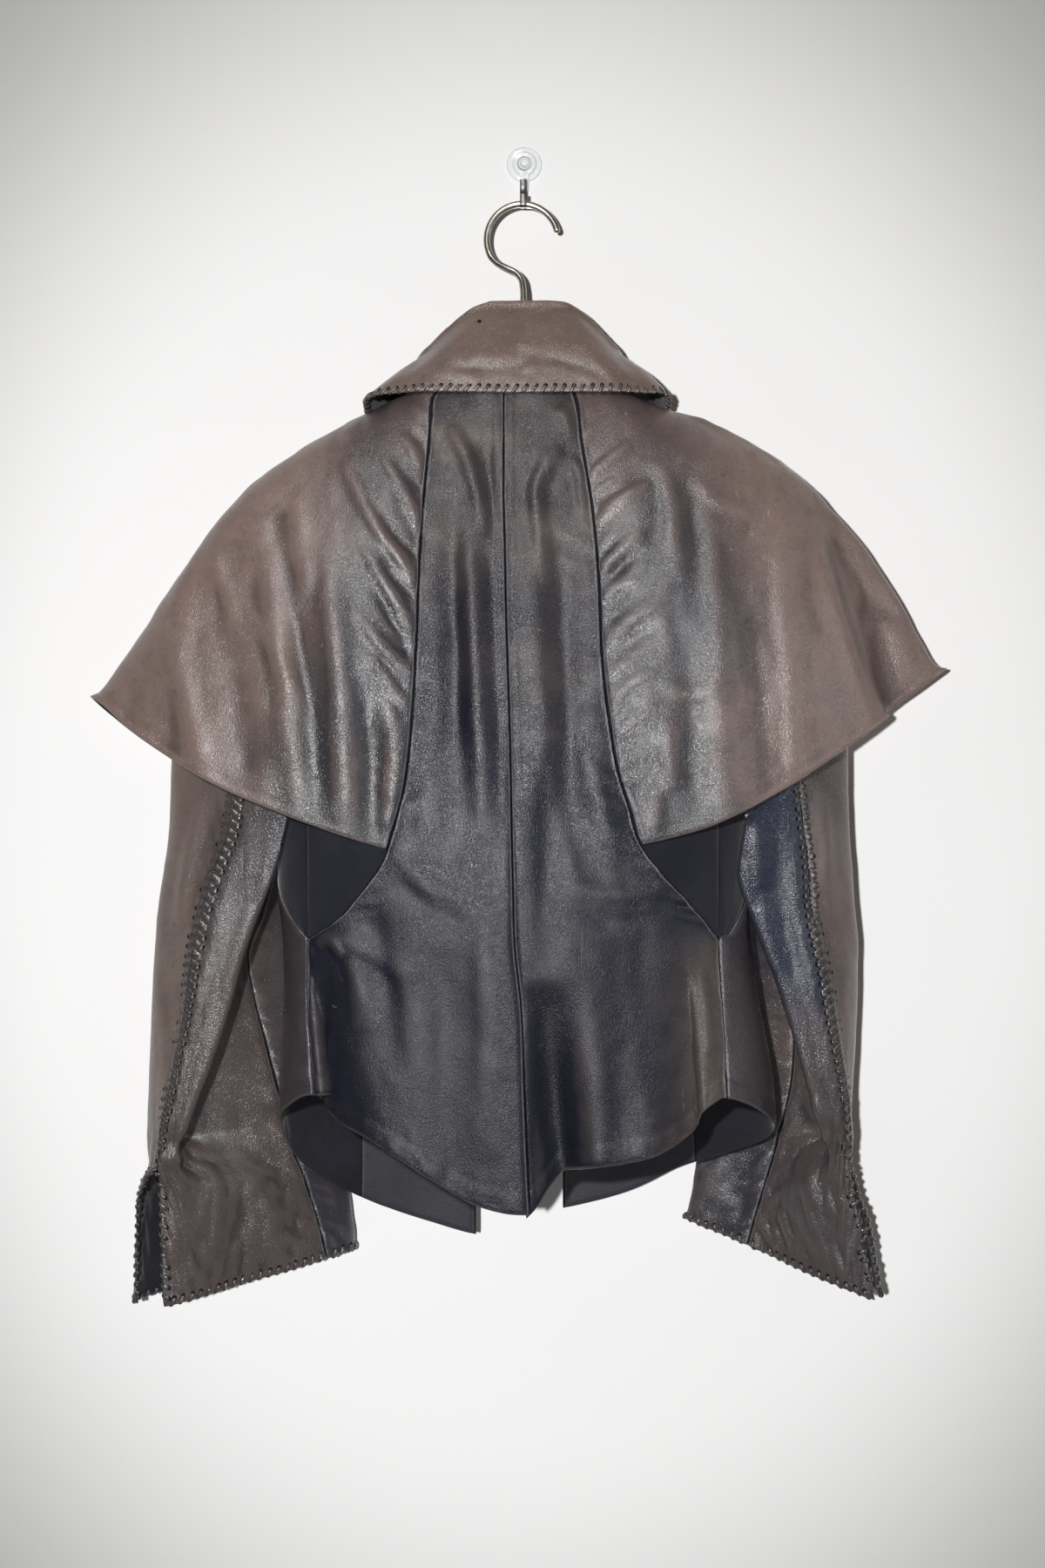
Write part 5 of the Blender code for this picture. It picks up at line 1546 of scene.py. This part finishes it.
def add_holes(name, places, normals, material):
    """Small dark discs, slightly dished, where the thongs go through the leather: painted shade in the
    holes.
    """
    places, normals = places.reshape(-1, 1, 3), normals.reshape(-1, 1, 3)
    aside = unit(np.cross(normals, (0.0, 0.3, 1.0)))
    ahead = np.cross(normals, aside)
    turns = np.linspace(0, 2 * math.pi, HOLE_SIDES, endpoint=False)[None, :, None]
    circle = HOLE_RADIUS * (aside * np.cos(turns) + ahead * np.sin(turns))
    points = np.concatenate([places + circle, places + 0.5 * circle - normals * 0.1], axis=1)
    count = len(points)
    index = np.arange(2 * count * HOLE_SIDES).reshape(count, 2, HOLE_SIDES)
    turned = np.roll(index, -1, axis=2)
    quads = np.stack([index[:, 0], turned[:, 0], turned[:, 1], index[:, 1]], axis=-1).reshape(-1, 4)
    piece = add_mesh(name, points.reshape(-1, 3), quads.tolist() + index[:, 1].tolist(), material)


def thong_tone(skin):
    """Browned and dark lengths by turns."""
    return 0.45 + skin.noise(45, 2) * 0.9


thong_leather = leather(
    "Thong leather", (0.012, 0.012, 0.017), (0.048, 0.039, 0.038), thong_tone,
    gloss=0.22, shine=1.0)
# Painted shade: the near-black of the holes.
hole_shade = Finish("Painted hole shade", Roughness=0.9, Specular_IOR_Level=0.1)
shadowed = hole_shade.mix(hole_shade.noise(400), (0.004, 0.004, 0.005), (0.012, 0.011, 0.011))
hole_shade.feed("Base Color", shadowed)

stitches = {}
for side, sign in SIGN.items():
    upper, under = SLEEVE_GRIDS["upper", side], SLEEVE_GRIDS["under", side]
    slit_row = int(np.abs(-under[:, 0, 2] - SLIT_DOWN).argmin())
    first_row = int(np.searchsorted(SLEEVE_PLACES, FIRST_LACED_ROW))
    laced, slit = slice(first_row, slit_row + 1), slice(slit_row, None)
    near, far = column_edge(under, -sign, 0, laced), column_edge(upper, -sign, -1, laced)
    stitches[f"sleeve_lacing_{side}"] = [
        crossed(near, far, 2.0, near.along[-1] - 2.0, LACED_IN[side], SUNK_DOWN[side])]
    edges = [column_edge(under, -sign, 0, slit), column_edge(upper, -sign, -1, slit)]
    stitches[f"slit_lacing_{side}"] = [whipped(edge, 4.0, edge.along[-1] - 4.0) for edge in edges]
    edges = [row_edge(under, -sign), row_edge(upper, -sign)]
    stitches[f"cuff_lacing_{side}"] = [whipped(edge, 2.0, edge.along[-1] - 2.0) for edge in edges]
edge = row_edge(collar_grid, 1.0)
stitches["collar_lacing"] = [whipped(edge, 5.0, edge.along[-1] - 5.0)]

for name, groups in stitches.items():
    paths = np.concatenate([group[0] for group in groups])
    faces_to = np.concatenate([group[1] for group in groups])
    width = LACED_WIDTH if name.startswith("sleeve") else THONG_WIDTH
    add_thongs(name, paths, faces_to, thong_leather, width)
    places = np.concatenate([group[2][0].reshape(-1, 3) for group in groups])
    normals = np.concatenate([group[2][1].reshape(-1, 3) for group in groups])
    add_holes(f"{name}_holes", places, normals, hole_shade.material)

# A small old hole high on the collar's fall, the part that stands out beyond FALL_Y.
COLLAR_HOLE_X, COLLAR_HOLE_Z = -32.8, -131.0
FALL_Y = -60.0

away = np.hypot(collar_grid[..., 0] - COLLAR_HOLE_X, collar_grid[..., 2] - COLLAR_HOLE_Z)
away[collar_grid[..., 1] > FALL_Y] += 1000.0
spot = np.unravel_index(away.argmin(), away.shape)
facing_out = outward(collar_grid, 1.0)[spot]
# Its disc is painted shade, like the thongs' holes.
add_holes("collar_hole", collar_grid[spot] + 0.15 * facing_out, facing_out, hole_shade.material)

# ------------------------------------------------------------------ hanger
# A hanger of round steel: its hook goes over the wall hook and down inside the collar to
# a dark varnished bar under the shoulder seams.

WIRE_RADIUS = 2.5
WIRE_SIDES = 20
ROUND_STEPS = 160
HOOK_RADIUS = 26.9
HOOK_CENTRE = (-1.3, -25.0, -63.3)
HOOK_TIP_ANGLE = 16.0
HOOK_HEEL_ANGLE = 197.0
HOOK_SHANK = (
    (-25.3, -25.6, -75.6), (-20.6, -27.5, -81.2), (-13.1, -30, -85.8), (-5.9, -32, -90.0),
    (-2.2, -34, -95.2), (-0.9, -37, -102.5),
    (-0.6, -42, -116), (-0.6, -47, -136), (-0.6, -50, -171.6),
)
BAR_RADIUS = 6.0
BAR_SIDES = 28
BAR_CLEAR = 1.6
BAR_X = {"left": (-182, -162, -140, -115, -90), "right": (90, 115, 140, 160, 175)}
BAR_MIDDLE = (
    (-62, -48, -196), (-30, -49, -184), (0, -50, -178), (30, -49, -184), (62, -48, -196),
)


def hook_path():
    """The wire: an arc from its tip over the top to its heel, then the shank."""
    angles = np.radians(np.linspace(HOOK_TIP_ANGLE, HOOK_HEEL_ANGLE, 26))
    arc = np.stack([HOOK_CENTRE[0] + HOOK_RADIUS * np.cos(angles),
                    np.full_like(angles, HOOK_CENTRE[1]),
                    HOOK_CENTRE[2] + HOOK_RADIUS * np.sin(angles)], axis=1)
    return np.vstack([arc, HOOK_SHANK])


def ridge_point(side, x):
    """The inside of the shoulder's ridge above x."""
    down = np.linspace(190, SHOULDER_DOWN, 200)
    ridge = OUTLINE.read(side, down)
    drop = np.interp(abs(x), np.abs(ridge), down)
    return np.array([x, OUTLINE.read("side", drop), -drop])


def bar_path():
    """The bar's middle line, just under the shoulder seams, with an arched middle."""
    left = [ridge_point("left", x) for x in BAR_X["left"]]
    right = [ridge_point("right", x) for x in BAR_X["right"]]
    line = np.array(left + right)
    slope = np.gradient(line[:, 2], line[:, 0])
    drop = (BAR_RADIUS + BAR_CLEAR) * np.sqrt(1 + slope ** 2)
    line[:, 2] -= drop
    count = len(left)
    return np.vstack([line[:count], BAR_MIDDLE, line[count:]])


def add_turned(name, rings, poles, material, replaces):
    """Rings of points joined one to the next, with a fan from each end ring to its pole."""
    count, sides = rings.shape[:2]
    index = np.arange(count * sides).reshape(count, sides)
    onward = np.roll(index, -1, axis=1)
    quads = np.stack([index[:-1], onward[:-1], onward[1:], index[1:]], axis=-1).reshape(-1, 4)
    first, last = count * sides, count * sides + 1
    caps = [(first, b, a) for a, b in zip(index[0], onward[0])]
    caps += [(last, a, b) for a, b in zip(index[-1], onward[-1])]
    points = np.concatenate([rings.reshape(-1, 3), poles])
    piece = add_mesh(name, points, quads.tolist() + caps, material)
    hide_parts(replaces)


def add_round(name, path, radius, material, replaces, sides):
    """A round bar along a smooth path, with domed ends closed at a pole."""
    along = arcs(path, 0)
    line = through(along, path, np.linspace(0, along[-1], ROUND_STEPS))
    ahead = unit(np.gradient(line, axis=0))
    aside = unit(np.cross(ahead, (0.02, 1.0, 0.01)))
    up = np.cross(ahead, aside)
    domes = np.radians((75, 50, 25))
    radii = np.concatenate([np.cos(domes), np.ones(ROUND_STEPS), np.cos(domes[::-1])]) * radius
    shift = np.concatenate([-np.sin(domes), np.zeros(ROUND_STEPS), np.sin(domes[::-1])]) * radius
    pick = np.concatenate([[0] * 3, np.arange(ROUND_STEPS), [ROUND_STEPS - 1] * 3])
    centres = line[pick] + ahead[pick] * shift[:, None]
    turns = np.linspace(0, 2 * math.pi, sides, endpoint=False)[None, :, None]
    around = aside[pick][:, None] * np.cos(turns) + up[pick][:, None] * np.sin(turns)
    rings = centres[:, None] + around * radii[:, None, None]
    poles = np.stack([line[0] - ahead[0] * radius, line[-1] + ahead[-1] * radius])
    add_turned(name, rings, poles, material, replaces)


steel = Finish("Hanger steel", Metallic=1.0)
worn, tarnish = steel.noise(60, 4, 0.6), steel.noise(300, 3, 0.7)
steel.feed("Base Color", steel.mix(worn.ramp(0.40, 0.70), (0.40, 0.37, 0.33), (0.20, 0.18, 0.16)))
steel.feed("Roughness", 0.20 + worn * 0.16 + tarnish * 0.08)
steel.feed("Normal", steel.bump(tarnish * 0.00006, 0.5))

varnish = Finish("Varnished bar", Specular_IOR_Level=0.5)
streaks = varnish.noise(60, 4, 0.6, 0.4, stretch=(0.2, 3.0, 3.0))
stained = varnish.mix(streaks.ramp(0.35, 0.65), (0.050, 0.030, 0.020), (0.105, 0.064, 0.040))
varnish.feed("Base Color", stained)
varnish.feed("Roughness", 0.32 + streaks * 0.12)
varnish.feed("Normal", varnish.bump(streaks * 0.0003, 0.5))

add_round(
    "hanger_wire", hook_path(), WIRE_RADIUS, steel.material, "hanger_hook", WIRE_SIDES)
add_round(
    "hanger_shoulders", bar_path(), BAR_RADIUS, varnish.material, "hanger_bar", BAR_SIDES)

# ------------------------------------------------------------------ wall cup and its hook
# A clear plastic suction cup pressed on the wall, with a clear ring round its boss, whose
# tab carries a small bent strip of grey metal.

CUP_PROFILE = (
    (8.0, 0.0), (7.95, 0.8), (7.8, 1.6), (7.4, 2.5), (6.6, 3.2), (5.4, 3.6), (5.2, 4.2), (5.0, 4.7),
    (4.6, 4.85), (3.2, 4.85), (2.2, 5.1), (1.8, 6.4), (1.5, 9.4), (1.1, 12.0), (0.75, 13.1),
    (0.35, 13.35), (0.05, 13.25), (0.0, 12.8), (0.0, 0.0),
)
CUP_TURNS = 72
RING_TURNS = 96
RING_OUTER = 9.0
RING_HOLE = 5.2
RING_BACK_Y = -2.5
RING_THICK = 2.2
RING_ROUNDING = 0.35
TAB_HALF = 3.0
TAB_BOTTOM = -22.0
TAB_BOW = 1.2
HOLE_FLARE = 1.06
STRIP_HALF = 2.6
STRIP_WALL = 1.4
STRIP_STEPS = 90
STRIP_Y = -6.4
STRIP_TOP = ((STRIP_Y, -13), (STRIP_Y, -18), (-8.0, -24), (-13.0, -30), (-19.5, -33.4))
STRIP_CLEAR = 0.4
LIP_TOP = -29.0

clear = Finish("Clear plastic", Specular_IOR_Level=0.8)
haze = clear.noise(90, 3)
normal = clear.add("ShaderNodeNewGeometry").out("Normal")
# Painted shade: walls that stand steep to the wall are drawn greyer and more opaque, for the dark outlines
# clear plastic shows round its rims.
steep = clear.add("ShaderNodeSeparateXYZ", None, {"Vector": normal}).out("Y").size().ramp(0.95, 0.30)
clear.feed("Base Color", clear.mix(steep, (0.82, 0.84, 0.85), (0.34, 0.36, 0.38)))
clear.feed("Alpha", 0.18 + steep * 0.50 + haze * 0.12)
clear.feed("Roughness", 0.06 + haze * 0.12)
clear.feed("Normal", clear.bump(haze * 0.0003, 0.4))

grey_metal = Finish("Grey metal strip", Metallic=1.0)
brushed = grey_metal.noise(160, 3, 0.6, 0.0, stretch=(6.0, 1.0, 1.0))
greys = grey_metal.mix(brushed.ramp(0.35, 0.65), (0.13, 0.125, 0.13), (0.26, 0.255, 0.26))
grey_metal.feed("Base Color", greys)
grey_metal.feed("Roughness", 0.30 + brushed * 0.15)
grey_metal.feed("Normal", grey_metal.bump(brushed * 0.00008, 0.5))


def add_cup():
    """The cup: its profile turned about the Y axis, closed at both poles."""
    profile = np.array(CUP_PROFILE)[1:-1]
    turns = np.linspace(0, 2 * math.pi, CUP_TURNS, endpoint=False)
    height, radius = profile[:, 0][:, None], profile[:, 1][:, None]
    circle = np.broadcast_arrays(radius * np.cos(turns), -height, radius * np.sin(turns))
    rings = np.stack(circle, axis=-1)[:, ::-1]
    poles = np.array([(0, -CUP_PROFILE[0][0], 0), (0, 0, 0)], float)
    add_turned("suction_cup", rings, poles, clear.material, "wall_cup")


def add_hook_ring():
    """The ring and its tab: two outlines with as many points, joined by walls and faces."""
    count = RING_TURNS
    angles = np.linspace(0, 2 * math.pi, count, endpoint=False) + math.pi / 2
    outline = RING_OUTER * np.stack([np.cos(angles), np.sin(angles)], axis=-1)
    below = (np.abs(outline[:, 0]) < TAB_HALF) & (outline[:, 1] < 0)
    outline[below, 1] = TAB_BOTTOM + TAB_BOW * (np.abs(outline[below, 0]) / TAB_HALF) ** 4
    hole = RING_HOLE * np.stack([np.cos(angles), np.sin(angles)], axis=-1)
    round_in = RING_ROUNDING
    centre_out = unit(outline)
    loops, front, back = [], RING_BACK_Y - RING_THICK, RING_BACK_Y
    for shape, y in (
        (outline - centre_out * round_in, front), (outline, front + round_in), (outline, back - round_in),
        (outline - centre_out * round_in, back), (hole * HOLE_FLARE, back), (hole, back - round_in),
        (hole, front + round_in), (hole * HOLE_FLARE, front),
    ):
        loops.append(np.stack([shape[:, 0], np.full(count, y), shape[:, 1]], axis=-1))
    points = np.stack(loops)
    index = np.arange(8 * count).reshape(8, count)
    onward, following = np.roll(index, -1, axis=1), np.roll(index, -1, axis=0)
    both = np.roll(following, -1, axis=1)
    quads = np.stack([index, following, both, onward], axis=-1).reshape(-1, 4)
    piece = add_mesh("cup_ring", points.reshape(-1, 3), quads, clear.material)
    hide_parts("hook_ring")


def add_strip():
    """The bent strip: from the tab, under the hanger's wire and up to its lip."""
    angles = np.radians(np.linspace(180, 360, 13))
    radius = WIRE_RADIUS + STRIP_CLEAR
    y_wire, z_wire = HOOK_CENTRE[1], HOOK_CENTRE[2] + HOOK_RADIUS
    bend = np.stack([y_wire - radius * np.cos(angles), z_wire + radius * np.sin(angles)], axis=1)
    lip = (bend[-1, 0], LIP_TOP)
    path = np.vstack([STRIP_TOP, bend, [(bend[-1] + lip) / 2, lip]])
    along = arcs(path, 0)
    line = through(along, path, np.linspace(0, along[-1], STRIP_STEPS))
    ahead = unit(np.gradient(line, axis=0))
    away = np.stack([ahead[:, 1], -ahead[:, 0]], axis=1)
    section = ((-1, 0.15), (-0.9, 0), (0.9, 0), (1, 0.15), (1, 0.85), (0.9, 1), (-0.9, 1), (-1, 0.85))
    rings = []
    for across, out in section:
        x = np.full(STRIP_STEPS, HOOK_CENTRE[0] / 2 + STRIP_HALF * across)
        rings.append(np.column_stack([x, line + away * STRIP_WALL * out]))
    points = np.stack(rings, axis=1)
    index = np.arange(STRIP_STEPS * 8).reshape(STRIP_STEPS, 8)
    onward = np.roll(index, -1, axis=1)
    quads = np.stack([index[:-1], onward[:-1], onward[1:], index[1:]], axis=-1).reshape(-1, 4)
    caps = [tuple(index[0, ::-1]), tuple(index[-1])]
    piece = add_mesh("metal_strip", points.reshape(-1, 3), quads.tolist() + caps, grey_metal.material)
    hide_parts("wall_hook")


add_cup()
add_hook_ring()
add_strip()

# ------------------------------------------------------------------ room, light and camera
# A pale painted wall just behind the cup, seen only from its front, and a pale floor well
# below the hem, both staged, with a lamp each.  The key light on the jacket is beside the
# camera, a little above it and to its left; beyond wall and floor the room is plain.

WALL_Y = 0.0015
FLOOR_Z = -1.25
WARM_PALE = (1.0, 0.82, 0.62, 1.0)


def add_plane(name, corners, material):
    """A flat staged background from four corners in metres."""
    mesh = bpy.data.meshes.new(name)
    mesh.from_pydata(corners, [], [(0, 1, 2, 3)])
    mesh.materials.append(material)
    plane = bpy.data.objects.new(name, mesh)
    bpy.context.scene.collection.objects.link(plane)
    return plane


paint = Finish("Wall paint", Roughness=0.9, Specular_IOR_Level=0.15)
# Painted shade: the paint darkens away from a point behind the jacket's middle, as light falling off
# towards the corners.
across, high = paint.axis("X"), paint.axis("Z") + 0.5
far = (across * across * 1.6 + high * high).maths("POWER", 0.5)
plaster = paint.mix(paint.noise(3, 3), (0.80, 0.80, 0.80), (0.83, 0.83, 0.835))
paint.feed("Base Color", paint.mix(far.ramp(0.46, 0.88), plaster, (0.37, 0.37, 0.365)))
behind = paint.add("ShaderNodeNewGeometry").out("Backfacing")
through_back = paint.add("ShaderNodeBsdfTransparent").node.outputs[0]
blend = paint.tree.nodes.new("ShaderNodeMixShader")
paint.set(blend.inputs[0], behind)
paint.tree.links.new(paint.shader.outputs[0], blend.inputs[1])
paint.tree.links.new(through_back, blend.inputs[2])
paint.tree.links.new(blend.outputs[0], paint.tree.nodes["Material Output"].inputs[0])

at_foot = [(-3, WALL_Y, FLOOR_Z), (3, WALL_Y, FLOOR_Z)]
wall = add_plane("wall", at_foot + [(3, WALL_Y, 2), (-3, WALL_Y, 2)], paint.material)
floor = add_plane("floor", [(-3, -4, FLOOR_Z), (3, -4, FLOOR_Z)] + at_foot[::-1], paint.material)

world = bpy.data.worlds.new("Pale room")
bpy.context.scene.world = world
world.use_nodes = True
nodes, links = world.node_tree.nodes, world.node_tree.links
by_ray = nodes.new("ShaderNodeLightPath").outputs
shown = nodes["Background"]
for name, strength, colour in (
    ("Is Glossy Ray", 0.06, (1.0, 0.86, 0.70, 1.0)),
    ("Is Camera Ray", 0.85, (0.93, 0.93, 0.93, 1.0)),
):
    other, pick = nodes.new("ShaderNodeBackground"), nodes.new("ShaderNodeMixShader")
    other.inputs["Color"].default_value = colour
    other.inputs["Strength"].default_value = strength
    links.new(by_ray[name], pick.inputs[0])
    links.new(shown.outputs[0], pick.inputs[1])
    links.new(other.outputs[0], pick.inputs[2])
    shown = pick
nodes["Background"].inputs["Color"].default_value = WARM_PALE
nodes["Background"].inputs["Strength"].default_value = 0.06
links.new(shown.outputs[0], nodes["World Output"].inputs[0])


def add_light(name, place, target, width, watts, colour):
    """A square area light aimed at a point."""
    light = bpy.data.lights.new(name, "AREA")
    light.size = width
    light.energy = watts
    light.color = colour
    lamp = bpy.data.objects.new(name, light)
    lamp.location = place
    lamp.rotation_euler = (Vector(target) - Vector(place)).to_track_quat("-Z", "Y").to_euler()
    bpy.context.scene.collection.objects.link(lamp)
    return lamp


def group(name, pieces):
    """A named set of pieces for the lamps below."""
    together = bpy.data.collections.new(name)
    for piece in pieces:
        together.objects.link(piece)
    return together


# The wall and the floor have a lamp each; the others light what hangs, and the one behind
# the wall, which doesn't stop it, lights the jacket's front.
WHITE = (1.0, 1.0, 1.0)
PALE_BLUE = (0.90, 0.95, 1.0)
MIDDLE = (0.0, -0.1, -0.45)

backdrop = group("Backdrop", [wall])
ground = group("Ground", [floor])
hung = group("Hung", [piece for piece in bpy.context.scene.collection.all_objects
                      if piece.type == "MESH" and piece not in (wall, floor)])
front = group("Front", [piece for piece in hung.objects if "cup" not in piece.name])
for name, place, width, watts, colour, lit in (
    ("Wall light", (-0.24, -2.30, -0.44), 0.05, 56, WHITE, backdrop),
    ("Floor light", (0.0, -0.60, 1.60), 1.2, 40, WHITE, ground),
    ("Key light", (-0.22, -1.76, -0.30), 0.06, 26, WHITE, hung),
    ("Top light", (-0.25, -1.50, 0.85), 0.4, 15, WHITE, hung),
    ("Side light", (1.45, -1.35, -0.20), 0.5, 5, PALE_BLUE, hung),
    ("Front light", (-0.05, 2.30, -0.40), 0.3, 55, WHITE, front),
):
    lamp = add_light(name, place, MIDDLE, width, watts, colour)
    lamp.light_linking.receiver_collection = lit
    if lit is not backdrop:
        lamp.light_linking.blocker_collection = hung
    lamp.data.use_shadow = name != "Top light"

camera = bpy.data.cameras.new("Camera")
camera.lens = 52.6
camera.sensor_width = 36.0
camera.clip_start = 0.05
view = bpy.data.objects.new("Camera", camera)
view.location = (-0.0013, -1.75, -0.473)
view.rotation_euler = (math.pi / 2, 0, 0)
bpy.context.scene.collection.objects.link(view)
bpy.context.scene.camera = view
